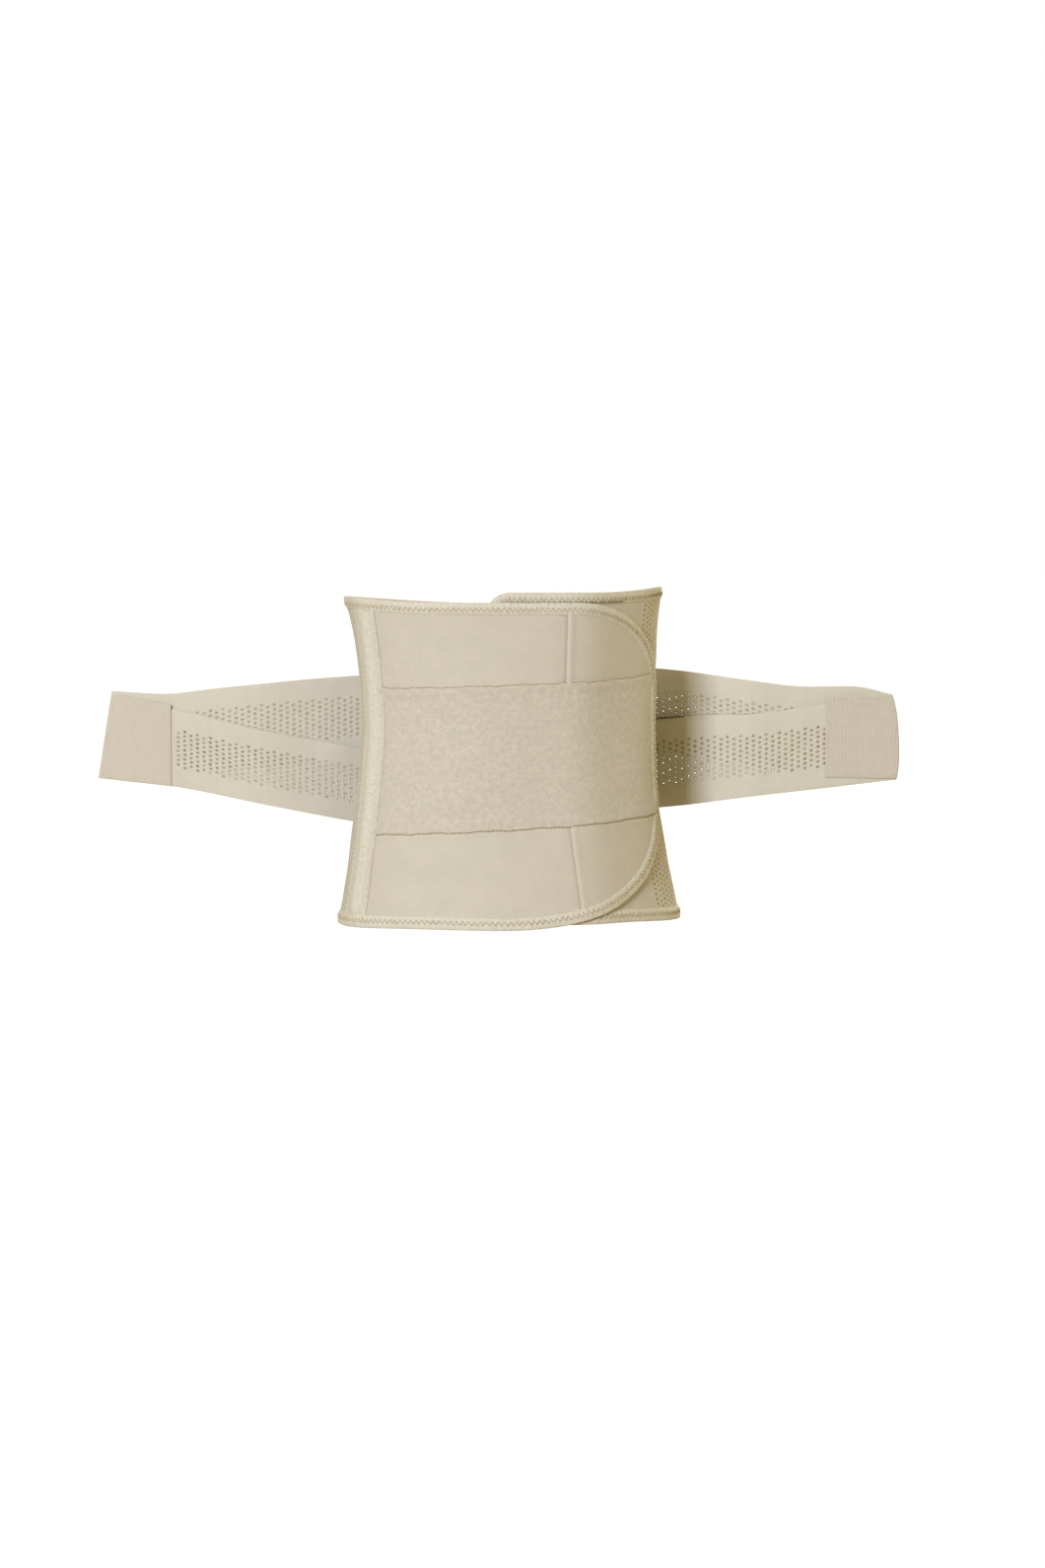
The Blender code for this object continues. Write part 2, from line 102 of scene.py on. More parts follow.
# Places in from a free edge, and the share of the full thickness at the outer two
EDGE = (0.0, 0.0004, 0.0012)
EDGE_SHARE = (0.3, 0.8)
AMBIENT, FLOOR_HALF, FLOOR_Z = (0.42, 0.345, 0.15), 30.0, -0.002

# Where the cloth bends when a joint turns: (first body, second body, start, end)
LEFT_BEND = ("back", "overlap_wing", (-0.13, 0.02, 0.14), (-0.13, -0.042, 0.14))
RIGHT_BEND = ("back", "underlap_wing", (0.14, 0.02, 0.14), (0.14, -0.042, 0.14))
FLAP_BEND = ("overlap_wing", "overlap_flap", (0.045, -0.1, 0.14), (0.067, -0.1, 0.14))


def smooth(value):
    value = np.clip(value, 0.0, 1.0)
    return value * value * (3 - 2 * value)


def bell(value, width):
    return np.exp(-((value / width) ** 2))


def joined(*parts):
    return np.concatenate(parts)


def half_width(shape, z):
    low = np.clip((WAIST_Z - z) / WAIST_Z, 0.0, None) ** shape["low_power"]
    high = np.clip((z - WAIST_Z) / (HEIGHT - WAIST_Z), 0.0, None) ** shape["high_power"]
    return shape["waist"] + shape["low"] * low + shape["high"] * high


def sway(angle, z):
    """Gentle unevenness of the worn cloth, the same for all layers so that they stay apart."""
    a = np.radians(angle)
    slow = 0.0007 * np.sin(3 * a + 17 * z + 0.6) + 0.0006 * np.sin(5 * a - 31 * z + 2.1)
    fine = 0.00035 * np.sin(11 * a + 57 * z) * np.sin(70 * z + 3 * a)
    swell = 0.006 * bell(angle + 61.0, 13.0)
    return slow + fine + swell


def on_waist(angle, z, out):
    """Points of the waist at these angles and heights, moved outwards: an (n, 3) array."""
    angle, z, out = np.broadcast_arrays(np.asarray(angle, float), z, out)
    c, s = np.cos(np.radians(angle)), np.sin(np.radians(angle))
    left, right = half_width(LEFT_SHAPE, z), half_width(RIGHT_SHAPE, z)
    wide, deep = np.where(c > 0, right, left), DEPTH_RATIO * (left + right) / 2
    nx, ny = c / wide, s / deep
    size = np.hypot(nx, ny)
    edge = smooth(1 - z / FLARE_HEIGHT) + smooth(1 - (HEIGHT - z) / FLARE_HEIGHT)
    out = out + sway(angle, z) + FLARE * edge * c**4
    x = CENTRE[0] + wide * c + out * nx / size
    y = CENTRE[1] + deep * s + out * ny / size
    return np.stack([x, y, z], -1)


def distances(path):
    """How far along a path each of its points is."""
    return joined([0.0], np.cumsum(np.linalg.norm(np.diff(path, axis=0), axis=1)))


ANGLES = np.arange(-240.0, 241.0, 1.0)
GIRTHS = distances(on_waist(ANGLES, WAIST_Z, 0.0))


def girth(angle):
    return float(np.interp(angle, ANGLES, GIRTHS))


def angle_of(g):
    return np.interp(g, GIRTHS, ANGLES)


def level(angle, z):
    """The stretched front is a little less tall than the sides, and the rear's top edge dips."""
    front = smooth((angle + 168.0) / 55.0) * smooth((-5.0 - angle) / 50.0)
    dip = REAR_DIP * np.maximum(np.sin(np.radians(angle)), 0.0) ** 2 * z / HEIGHT
    return z + front * FRONT_SHRINK * (HEIGHT / 2 - z) - dip


def on_overlap(g, z, out):
    """A point of the overlap or the left side: angles from -210 to -15."""
    angle = angle_of(g)
    return on_waist(angle, level(angle, z), out + OVERLAP_OUT * smooth((angle - LEFT_EDGE) / 36.0))


def on_back(g, z, out):
    """A point of the back, the right side or the underlap, from -97 to 150. They lie a little higher."""
    angle = angle_of(g)
    lift = RIGHT_LIFT[0] + (RIGHT_LIFT[1] - RIGHT_LIFT[0]) * z / HEIGHT
    return on_waist(angle, level(angle, z) + smooth((60.0 - angle) / 60.0) * lift, out)


FLAP_SEAM = girth(-math.degrees(math.acos((FLAP_SEAM_X - CENTRE[0]) / RIGHT_SHAPE["waist"])))
# The stay casings that lie under the bindings, as girths and widths
CASING_SPOTS = {
    on_overlap: [(girth(LEFT_CASING[0]) + LEFT_CASING[1], LEFT_CASING[2])],
    on_back: [(girth(angle), BACK_CASING_WIDTH) for angle in BACK_CASINGS],
}
SIDES = (
    ("back", BACK_RIGHT, BACK_LEFT, on_back, "back"),
    ("left_side", LEFT_SIDE_START, LEFT_SEAM, on_overlap, LEFT_BEND),
    ("right_side", RIGHT_SEAM, BACK_RIGHT, on_back, RIGHT_BEND),
)


# ---- meshes ----
def placed(name, data):
    obj = bpy.data.objects.new(name, data)
    bpy.context.scene.collection.objects.link(obj)
    return obj


def dressed(obj, on, nodes=(), slot=None):
    """Parents a piece to the body it rides on, or, given a bend between two bodies, bakes its transform into
    its mesh; hides the nodes it stands for.
    Its slot, the material's name without the number that Blender adds to it, is worked out but not used
    further."""
    if isinstance(on, str):
        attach(obj, on)
    else:
        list(on)
        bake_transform(obj)
    if nodes:
        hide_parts(*nodes)
    slot = slot or obj.data.materials[0].name.split(".")[0]


def finish_mesh(name, points, faces, cloth, material):
    mesh = bpy.data.meshes.new(name)
    mesh.from_pydata(np.asarray(points).tolist(), [], faces)
    mesh.validate()
    layer = mesh.attributes.new("cloth", "FLOAT_VECTOR", "POINT")
    layer.data.foreach_set("vector", np.asarray(cloth, np.float32).ravel())
    mesh.shade_smooth()
    mesh.set_sharp_from_angle(angle=math.radians(62))
    mesh.materials.append(material)
    return placed(name, mesh)


def grid_faces(rows, cols, start, flip=False):
    index = np.arange(rows * cols).reshape(rows, cols) + start
    a, b, c, d = index[:-1, :-1], index[1:, :-1], index[1:, 1:], index[:-1, 1:]
    quads = np.stack([a, d, c, b] if flip else [a, b, c, d], -1).reshape(-1, 4)
    return quads.tolist()


def fractions(height):
    """Shares of a height, STEP apart, with closer ones at both ends for a rounded edge."""
    count = max(2, int(round((height - 2 * EDGE[-1]) / STEP)))
    inner = np.linspace(EDGE[-1], height - EDGE[-1], count + 1)
    places = joined(EDGE[:-1], inner, [height - e for e in EDGE[-2::-1]])
    return places / places[-1]


def rounding(count, ends):
    """Share of the full thickness along a row of places, thinner at each end that is a free edge."""
    share = np.ones(count)
    if ends[0]:
        share[:2] = EDGE_SHARE
    if ends[1]:
        share[-2:] = EDGE_SHARE[::-1]
    return share


def shell(
    name, place, gs, low, high, half, material, on, nodes=(), base=0.0, relief=None, free=(True, True)
):
    """Cloth between the heights low and high, with rounded edges, in the place of those nodes.
    place(g, z, out) puts it in the world, base is how far out its middle lies, a number or a function of
    g and z, and relief is a function that adds to its outer face."""
    low, high = low + 0.0 * gs, high + 0.0 * gs
    rows = fractions(float(np.max(high - low)))
    g = np.repeat(gs[:, None], len(rows), 1)
    z = low[:, None] + (high - low)[:, None] * rows[None, :]
    across, along = rounding(len(gs), free), rounding(len(rows), (True, True))
    thick = half * np.minimum(across[:, None], along[None, :])
    middle = base(g, z) if callable(base) else base
    top = middle + thick + (relief(g, z) if relief else 0.0)
    points = joined(*(place(g, z, out).reshape(-1, 3) for out in (top, middle - thick)))
    n, m = g.shape
    faces = grid_faces(n, m, 0) + grid_faces(n, m, n * m, flip=True)
    index = np.arange(n * m).reshape(n, m)
    rim = joined(index[:, 0], index[-1, 1:], index[:-1, -1][::-1], index[0, 1:-1][::-1])
    nxt = np.roll(rim, -1)
    faces += np.stack([nxt, rim, rim + n * m, nxt + n * m], -1).tolist()
    flat = np.stack([g, z, np.zeros_like(g)], -1).reshape(-1, 3)
    spans = high - low
    area = abs(float((np.diff(gs) * (spans[1:] + spans[:-1]) / 2).sum()))
    made = finish_mesh(name, points, faces, joined(flat, flat), material)
    dressed(made, on, nodes)


Row = collections.namedtuple("Row", "pitch length radius thread zigzag", defaults=(0.0,))


def stitches(name, starts, ends, normals, radius, material):
    """Short threads from starts to ends, each a little arched tube that dips into the cloth."""
    along = ends - starts
    side = np.cross(along, normals)
    side /= np.linalg.norm(side, axis=1)[:, None]
    # Each ring's share of the length, its width and its rise, in radii
    sides, rings = 6, ((0.0, 0.35, -0.5), (0.22, 1.0, 0.5), (0.78, 1.0, 0.5), (1.0, 0.35, -0.5))
    angles = np.arange(sides) * 2 * math.pi / sides
    points = []
    for share, width, rise in rings:
        middle = starts + share * along + normals * (rise * radius)
        for a in angles:
            points.append(middle + radius * width * (math.cos(a) * side + math.sin(a) * normals))
    flat = np.stack(points, 1).reshape(-1, 3)
    k = np.arange(sides)
    nxt = np.roll(k, -1)
    tube = [np.stack([k, nxt, nxt + sides, k + sides], 1) + r * sides for r in range(len(rings) - 1)]
    firsts = (np.arange(len(starts)) * len(rings) * sides)[:, None, None]
    faces = []
    for part in (np.concatenate(tube), k[None, ::-1], k[None] + (len(rings) - 1) * sides):
        faces += (part + firsts).reshape(-1, part.shape[1]).tolist()
    return finish_mesh(name, flat, faces, flat, material)


def honeycomb(
    name, place, u0, u1, v0, v1, zone, material, half, on, nodes, sides=12, first=0, free=(False, False)
):
    """Perforated cloth over a rectangle in (u, v): a staggered lattice of cells. Each hole narrows to a
    waist halfway through the cloth, and zone(u, v) gives the waist's share of the rim, or 0 for a cell
    with no hole. first counts the columns of an earlier rectangle, so that the lattice goes on from it."""
    cols, rows = max(2, int(round((u1 - u0) / HOLE_PITCH[0]))), int(round((v1 - v0) / HOLE_PITCH[1]))
    p, q = (u1 - u0) / cols, (v1 - v0) / rows
    near, far = (p * p - q * q / 4) / (2 * p), (p * p + q * q / 4) / (2 * p)
    corners = [(far, 0.0), (near, q / 2), (-near, q / 2), (-far, 0.0), (-near, -q / 2), (near, -q / 2)]
    ring = []
    for spot, nxt in zip(corners, corners[1:] + corners[:1]):
        ring.append(spot)
        if sides == 12:
            ring.append(((spot[0] + nxt[0]) / 2, (spot[1] + nxt[1]) / 2))
    turns = np.radians(np.arange(sides) * 360 / sides)
    rim = [(HOLE_RIM[0] * math.cos(t), HOLE_RIM[1] * math.sin(t)) for t in turns]
    index, places, faces_top = {}, [], []

    def vertex(u, v, kind):
        key = (round(u * 2e5), round(v * 2e5), kind)
        if key not in index:
            index[key] = len(places)
            places.append((u, v, kind))
        return index[key]

    def add_face(face):
        """Adds a face without the corners that fall together at the cloth's edge."""
        faces_top.append([v for k, v in enumerate(face) if v != face[k - 1]])

    for i in range(cols):
        cu = u0 + (i + 0.5) * p
        odd = (i + first) % 2
        for j in range(rows + odd):
            cv = v0 + (j + 0.5 * (1 - odd)) * q
            cell = []
            for du, dv in ring:
                u, v = cu + du, cv + dv
                if i == 0 and du < -0.4 * p:
                    u = u0
                if i == cols - 1 and du > 0.4 * p:
                    u = u1
                cell.append(vertex(u, min(max(v, v0), v1), 0))
            opening = zone(cu, cv) if v0 + 0.4 * q < cv < v1 - 0.4 * q else 0
            if opening:
                size = 1 + 0.16 * math.sin(cu * 9711 + cv * 6133)
                size += 0.08 * math.sin(cu * 1710 - cv * 2931)
                hu = cu + HOLE_DRIFT * math.sin(cu * 5321 + cv * 7919)
                hv = cv + HOLE_DRIFT * math.sin(cu * 8009 - cv * 4513)
                lip = [vertex(hu + size * x, hv + size * y, 1) for x, y in rim]
                size *= opening * (1 + 0.38 * math.sin(cu * 3571 + cv * 8117))
                waist = [vertex(hu + size * x, hv + size * y, 2) for x, y in rim]
                for k in range(sides):
                    n = (k + 1) % sides
                    add_face([cell[k], cell[n], lip[n], lip[k]])
                    add_face([lip[k], lip[n], waist[n], waist[k]])
            else:
                add_face(cell)
    places = np.array(places)
    kind = places[:, 2].astype(int)
    u, v = places[:, 0], places[:, 1]
    at_edge = (np.abs(v - v0) < 1e-6) | (np.abs(v - v1) < 1e-6)
    at_edge |= (free[0] & (np.abs(u - u0) < 1e-6)) | (free[1] & (np.abs(u - u1) < 1e-6))
    thick = np.where(kind == 2, 0.0, np.where(at_edge, 0.45 * half, half))
    # The waist of each hole is one ring, shared by both faces of the cloth
    own = kind != 2
    remap = np.where(own, len(places) + np.cumsum(own) - 1, np.arange(len(places)))
    faces = faces_top + [remap[face[::-1]].tolist() for face in faces_top]
    edges = dict.fromkeys(pair for face in faces_top for pair in zip(face, face[1:] + face[:1]))
    for a, b in edges:
        if (b, a) not in edges and kind[a] == 0 and kind[b] == 0:
            faces.append([b, a, int(remap[a]), int(remap[b])])
    points = joined(place(u, v, thick), place(u, v, -thick)[own])
    # The third value is how deep a place lies in its hole, 0 on the face and 1 at the waist; the knits paint
    # shade into the holes by it.
    flat = np.stack([u, v, np.array([0.0, 0.35, 1.0])[kind]], -1)
    made = finish_mesh(name, points, faces, joined(flat, flat[own]), material)
    dressed(made, on, nodes)


# ---- materials ----
class Nodes:
    """A material's node tree, with short calls for the nodes that the fabrics are made of."""

    def __init__(self, name):
        self.material = bpy.data.materials.new(name)
        self.material.use_nodes = True
        self.tree = self.material.node_tree
        self.shader = self.tree.nodes["Principled BSDF"]
        self.place = self.add("ShaderNodeAttribute", attribute_name="cloth").outputs["Vector"]
        self.u, self.v, self.depth = self.add("ShaderNodeSeparateXYZ", {0: self.place}).outputs

    def add(self, kind, inputs=(), **settings):
        node = self.tree.nodes.new(kind)
        for key, value in settings.items():
            setattr(node, key, value)
        self.fill(node, inputs)
        return node

    def fill(self, node, inputs):
        for socket, value in dict(inputs).items():
            if isinstance(value, bpy.types.NodeSocket):
                self.tree.links.new(value, node.inputs[socket])
            else:
                node.inputs[socket].default_value = value

    def math(self, operation, a, b=0.0):
        return self.add("ShaderNodeMath", {0: a, 1: b}, operation=operation).outputs[0]

    def plus(self, a, b):
        return self.math("ADD", a, b)

    def times(self, a, b):
        return self.math("MULTIPLY", a, b)

    def ripple(self, value, pitch):
        """A wave from 0 to 1 with that pitch."""
        wave = self.math("SINE", self.times(value, 2 * math.pi / pitch))
        return self.plus(self.times(wave, 0.5), 0.5)

    def noise(self, vector, size, detail=3.0, rough=0.6):
        sockets = {"Vector": vector, "Scale": 1 / size, "Detail": detail, "Roughness": rough}
        return self.add("ShaderNodeTexNoise", sockets).outputs["Fac"]

    def ramp(self, value, low, high, to_low=0.0, to_high=1.0):
        sockets = {"Value": value, "From Min": low, "From Max": high, "To Min": to_low, "To Max": to_high}
        return self.add("ShaderNodeMapRange", sockets, clamp=True).outputs["Result"]

    def mix(self, share, a, b):
        a, b = ((*value, 1.0) if isinstance(value, tuple) else value for value in (a, b))
        return self.add("ShaderNodeMix", {0: share, 6: a, 7: b}, data_type="RGBA").outputs[2]

    def finish(self, colour, height, bump, fuzz, rough, sheen=0.15):
        """The finished material: rough is its roughness where the fuzz is low and where it's high."""
        bumped = self.add("ShaderNodeBump", {"Height": height, "Strength": 1.0, "Distance": bump})
        sockets = {
            "Base Color": colour, "Normal": bumped.outputs[0], "Roughness": self.ramp(fuzz, 0.3, 0.7, *rough),
            "Specular IOR Level": 0.25, "Sheen Weight": sheen, "Sheen Roughness": 0.6,
        }
        self.fill(self.shader, sockets)
        return self.material


def shade(colour, share):
    return tuple(c * share for c in colour)


def knit(name, colour, wale=0.0011, course=0.0009, holes=False, grain=0.38):
    """A smooth elastic knit: fine wales across, courses along, a little cloudiness and fuzz."""
    n = Nodes(name)
    flat = n.add("ShaderNodeCombineXYZ", {0: n.u, 1: n.v}).outputs[0]
    ribs = n.ripple(n.u, wale)
    loops = n.ripple(n.plus(n.v, n.times(ribs, course / 3)), course)
    weave = n.times(ribs, loops)
    fuzz = n.noise(flat, 0.0006, 2.0)
    clouds = n.noise(flat, 0.02, 4.0, 0.65)
    mottled = n.noise(flat, 0.0035, 3.0, 0.7)
    tone = n.mix(n.ramp(clouds, 0.35, 0.65), shade(colour, 0.94), colour)
    tone = n.mix(n.ramp(mottled, 0.3, 0.7, 0.0, grain), tone, shade(colour, 0.84))
    tone = n.mix(n.ramp(weave, 0.0, 0.5, 0.22, 0.0), tone, shade(colour, 0.66))
    # Painted shade: the hole walls darken with depth towards each waist, standing in for the shade inside the
    # holes.
    if holes:
        tone = n.mix(n.ramp(n.depth, 0.15, 0.8), tone, HOLE_SHADE)
    height = n.plus(n.times(weave, 0.7), n.times(fuzz, 0.6))
    return n.finish(tone, height, 0.00018, fuzz, (0.78, 0.92))


def plush(name, colour):
    """Brushed loop pile: short fuzz with darker pits and soft brushed patches."""
    n = Nodes(name)
    fuzz_size = 0.0012
    fuzz = n.noise(n.place, fuzz_size, 4.0, 0.7)
    sockets = {"Vector": n.place, "Scale": 1 / (1.6 * fuzz_size)}
    tufts = n.add("ShaderNodeTexVoronoi", sockets).outputs["Distance"]
    brushed = n.noise(n.place, 0.016, 5.0, 0.7)
    patches = n.noise(n.place, 0.0045, 4.0, 0.75)
    tone = n.mix(n.ramp(brushed, 0.35, 0.65), shade(colour, 0.9), colour)
    tone = n.mix(n.ramp(patches, 0.35, 0.65, 0.0, 0.95), tone, shade(colour, 0.77))
    tone = n.mix(n.ramp(fuzz, 0.3, 0.6, 0.35, 0.0), tone, shade(colour, 0.72))
    height = n.math("SUBTRACT", fuzz, n.times(tufts, 0.35))
    return n.finish(tone, height, 0.00055, fuzz, (0.88, 0.98), 0.35)


def tape(name, colour, rib=0.0013, bump=0.0004):
    """Woven binding tape: slanted ribs, soft and slightly crumpled."""
    n = Nodes(name)
    slanted = n.plus(n.u, n.math("ABSOLUTE", n.times(n.v, 0.6)))
    ribs = n.ripple(slanted, rib)
    fuzz = n.noise(n.place, 0.0007, 2.0)
    crumple = n.noise(n.place, 0.0028, 4.0, 0.7)
    tone = n.mix(n.ramp(crumple, 0.35, 0.65, 0.0, 0.85), colour, shade(colour, 0.76))
    tone = n.mix(n.ramp(ribs, 0.0, 0.4, 0.25, 0.0), tone, shade(colour, 0.68))
    height = n.plus(n.times(ribs, 0.5), n.plus(fuzz, n.times(crumple, 1.4)))
    return n.finish(tone, height, bump, fuzz, (0.8, 0.95))


def hooks(name, colour):
    """Hook tape: rows of tiny stiff hooks on a woven ground."""
    n = Nodes(name)
    dots = n.times(n.ripple(n.u, 0.0012), n.ripple(n.v, 0.00096))
    worn = n.noise(n.place, 0.012, 4.0, 0.7)
    fine = n.noise(n.place, 0.0016, 3.0, 0.7)
    tone = n.mix(n.ramp(worn, 0.35, 0.65), shade(colour, 0.95), colour)
    tone = n.mix(n.ramp(dots, 0.05, 0.6, 0.35, 0.0), tone, shade(colour, 0.7))
    tone = n.mix(n.ramp(fine, 0.3, 0.65, 0.3, 0.0), tone, shade(colour, 0.8))
    height = n.plus(dots, n.times(fine, 0.6))
    return n.finish(tone, height, 0.0004, fine, (0.6, 0.8), 0.05)


def thread(name, colour):
    n = Nodes(name)
    twist = n.noise(n.place, 0.0004, 2.0)
    tone = n.mix(n.ramp(twist, 0.35, 0.65, 0.0, 0.6), colour, shade(colour, 0.75))
    return n.finish(tone, twist, 0.0001, twist, (0.55, 0.75), 0.1)


def spring_steel(name):
    n = Nodes(name)
    stretched = n.add("ShaderNodeMapping", {"Vector": n.place, "Scale": (1.0, 0.03, 1.0)}).outputs[0]
    scratches = n.noise(stretched, 0.0004, 3.0)
    tone = n.mix(scratches, (0.42, 0.42, 0.43), (0.62, 0.62, 0.63))
    n.shader.inputs["Metallic"].default_value = 1.0
    return n.finish(tone, scratches, 0.00002, scratches, (0.25, 0.45), 0.0)


# Painted shade: the dark colour of the hole walls, standing in for the shade inside the perforations.
HOLE_SHADE = (0.28, 0.21, 0.115)
ELASTIC = knit("elastic_fabric", (0.614, 0.551, 0.466))
LOOP = plush("plush_loop", (0.64, 0.571, 0.479))
BINDING = tape("edge_binding", (0.765, 0.7, 0.602))
CASING = tape("seam_tape", (0.695, 0.632, 0.54), rib=0.001, bump=0.00012)
MESH = knit("perforated_elastic", (0.63, 0.578, 0.49), wale=0.0014, course=0.001, holes=True)
WEBBING = knit(
    "perforated_webbing", (0.655, 0.603, 0.518), wale=0.0012, course=0.0011, holes=True, grain=0.15
)
HOOK = hooks("hook_tape", (0.735, 0.655, 0.565))
THREAD = thread("sewing_thread", (0.58, 0.51, 0.39))
BINDING_THREAD = thread("zigzag_thread", (0.54, 0.45, 0.31))
# Dark brown thread for seams; the rows along the loop panel's folded edges and along the right strap's band
# gap also use it as painted shadow.
DARK_THREAD_AND_SHADOW = thread("seam_thread", (0.4, 0.3, 0.16))
# Painted shadow: near-black thread that stands in for the shade in the gap between the right strap's bands
# near the body, and in the gap between the underlap's top binding and the overlap's top edge.
GAP_SHADOW_THREAD = thread("gap_thread", (0.17, 0.12, 0.06))
STEEL = spring_steel("stay_steel")

# Rows of stitches: pitch, length and radius of a thread, the thread, and a zigzag's half width
BINDING_ROW = Row(0.0021, 0.0, 0.00038, BINDING_THREAD, zigzag=0.0021)
ANCHOR_ROW = Row(0.0022, 0.0, 0.00024, THREAD, zigzag=0.0012)
PLAIN_ROW = Row(0.003, 0.0024, 0.00022, THREAD)
DARK_ROW = Row(0.003, 0.0024, 0.00022, DARK_THREAD_AND_SHADOW)
CASING_ROW = Row(0.003, 0.0024, 0.0002, THREAD)
# Partly painted shadow: a dark, nearly unbroken row along the loop panel's folded edge, standing in for that
# edge's shadow as well as its seam.
SEAM_EDGE_SHADOW_ROW = Row(0.0032, 0.0029, 0.00034, DARK_THREAD_AND_SHADOW)
TOP_ROW = Row(0.0032, 0.0022, 0.00018, THREAD)
UNDERLAP_ROW = Row(0.0032, 0.0026, 0.00022, DARK_THREAD_AND_SHADOW)
# Painted shadow: a row of near-black stitches standing in for the shade in the gap between the underlap's top
# binding and the overlap's top edge.
GAP_SHADOW_ROW = Row(0.003, 0.0022, 0.00055, GAP_SHADOW_THREAD)
# Rows on the lower band's top edge, from one distance to another from the belt's middle plane. On the right
# strap they are painted shadow: a thick near-black row near the body, then a thin dark brown row of edge
# stitching that carries the fainter part of that shaded line.
EDGE_ROWS = {
    "left": ((0.13, 0.235, Row(0.0031, 0.0027, 0.00018, THREAD)),),
    "right": (
        (0.125, 0.158, Row(0.0031, 0.0027, 0.00085, GAP_SHADOW_THREAD)),
        (0.158, 0.215, Row(0.0031, 0.0027, 0.00024, DARK_THREAD_AND_SHADOW)),
    ),
}


# ---- cloth and thread, in place ----
def spread(start, end, free=(True, True)):
    """Girths between two angles, closer together at a free end."""
    g0, g1 = girth(start), girth(end)
    count = max(3, int(round((g1 - g0) / STEP)))
    inner = np.linspace(g0 + EDGE[-1] * free[0], g1 - EDGE[-1] * free[1], count)
    head = [g0 + e for e in EDGE[:-1]] if free[0] else []
    tail = [g1 - e for e in EDGE[:-1]][::-1] if free[1] else []
    return joined(head, inner, tail)


def sew(name, place, line, out, row, slot, on):
    """Stitches along a line of (g, z), straight or in a zigzag. The slot of the cloth under them is handed on
    but not used further.
    """
    line = np.asarray(line, float)
    run = distances(line)
    marks = np.arange(row.pitch / 2, run[-1] - row.pitch / 2, row.pitch)

    def at(distance, offset):
        """Places at a distance along the line, and an offset to its left."""
        ahead = np.minimum(distance + 1e-4, run[-1])
        (g, z), (g1, z1), (g2, z2) = (
            [np.interp(where, run, line[:, k]) for k in (0, 1)] for where in (distance, ahead - 1e-4, ahead)
        )
        size = np.hypot(g2 - g1, z2 - z1)
        return g - offset * (z2 - z1) / size, z + offset * (g2 - g1) / size

    if row.zigzag:
        reach = row.pitch / 2
        offset = np.where(np.arange(len(marks)) % 2 == 0, 1.0, -1.0) * row.zigzag
    else:
        reach, offset = row.length / 2, np.zeros_like(marks)
    (g0, z0), (g1, z1) = at(marks - reach, -offset), at(marks + reach, offset)
    starts, ends = place(g0, z0, out), place(g1, z1, out)
    gm, zm = (g0 + g1) / 2, (z0 + z1) / 2
    normals = place(gm, zm, out + 0.001) - place(gm, zm, out)
    normals /= np.linalg.norm(normals, axis=1)[:, None]
    dressed(stitches(name, starts, ends, normals, row.radius, row.thread), on, slot=slot)


# ---- outlines ----
def curve(points, x):
    """A smooth line through a few (x, y) points."""
    xs, ys = np.array(points, float).T
    slopes = np.gradient(ys, xs)
    k = np.clip(np.searchsorted(xs, x) - 1, 0, len(xs) - 2)
    h = xs[k + 1] - xs[k]
    t = np.clip((x - xs[k]) / h, 0.0, 1.0)
    a, b = 2 * t**3 - 3 * t**2 + 1, t**3 - 2 * t**2 + t
    c, d = -2 * t**3 + 3 * t**2, t**3 - t**2
    return a * ys[k] + b * h * slopes[k] + c * ys[k + 1] + d * h * slopes[k + 1]


def corner(shape, end, edge, way):
    """A rounded corner in girth and height, from the long edge to the end edge; way is 1 at the top."""
    t = np.radians(np.linspace(0.0, 90.0, 40))
    across = np.clip(np.sin(t), 0, None) ** (2 / shape["power"])
    along = np.clip(np.cos(t), 0, None) ** (2 / shape["power"])
    return np.stack([end - shape["reach"] * (1 - across), edge - way * shape["drop"] * (1 - along)], 1)


def outline(start, end, top, bottom, way=1):
    """From a seam along the top, round the cloth's end and back along the bottom, in girth and height."""
    g0, g1 = way * girth(start), way * girth(end)
    above, below = corner(top, g1, HEIGHT, 1), corner(bottom, g1, 0.0, -1)[::-1]
    return joined([(g0, HEIGHT)], above, below, [(g0, 0.0)]) * (way, 1)


OVERLAP = outline(LEFT_SEAM, FLAP_END, FLAP_TOP, FLAP_BOTTOM)
UNDERLAP = outline(RIGHT_SEAM, UNDERLAP_END, UNDERLAP_ROUND, UNDERLAP_ROUND, -1)


class Along:
    """Places along a path: distance s, and t measured in from the edge, as girth and height."""

    def __init__(self, path, side):
        path = np.asarray(path, float)
        run = distances(path)
        self.length = float(run[-1])
        self.marks = np.linspace(0.0, self.length, max(4, int(round(self.length / 0.0015))))
        self.path = np.stack([np.interp(self.marks, run, path[:, k]) for k in (0, 1)], 1)
        slope = np.gradient(self.path, self.marks, axis=0)
        for _ in range(3):
            slope[1:-1] = (slope[:-2] + slope[1:-1] + slope[2:]) / 3
        slope /= np.linalg.norm(slope, axis=1)[:, None]
        self.inward = np.stack([slope[:, 1], -slope[:, 0]], 1) * side

    def at(self, s, t):
        place = [np.interp(s, self.marks, self.path[:, k]) for k in (0, 1)]
        inward = [np.interp(s, self.marks, self.inward[:, k]) for k in (0, 1)]
        return place[0] + t * inward[0], place[1] + t * inward[1]


def outline_limits(path, side):
    """The cloth's lowest and highest height as functions of girth, inside a binding that runs round its
    end, and the girth of that end."""
    line = Along(path, side)
    s = np.linspace(0.0, line.length, 900)
    g, z = line.at(s, np.full_like(s, BINDING_WIDTH - 0.004))
    far = int(np.argmax(np.abs(g - g[0])))

    def limit(part):
        order = np.argsort(g[part])
        return lambda at: np.interp(at, g[part][order], z[part][order])

    return (limit(slice(far, None)), limit(slice(0, far + 1))), float(g[far])


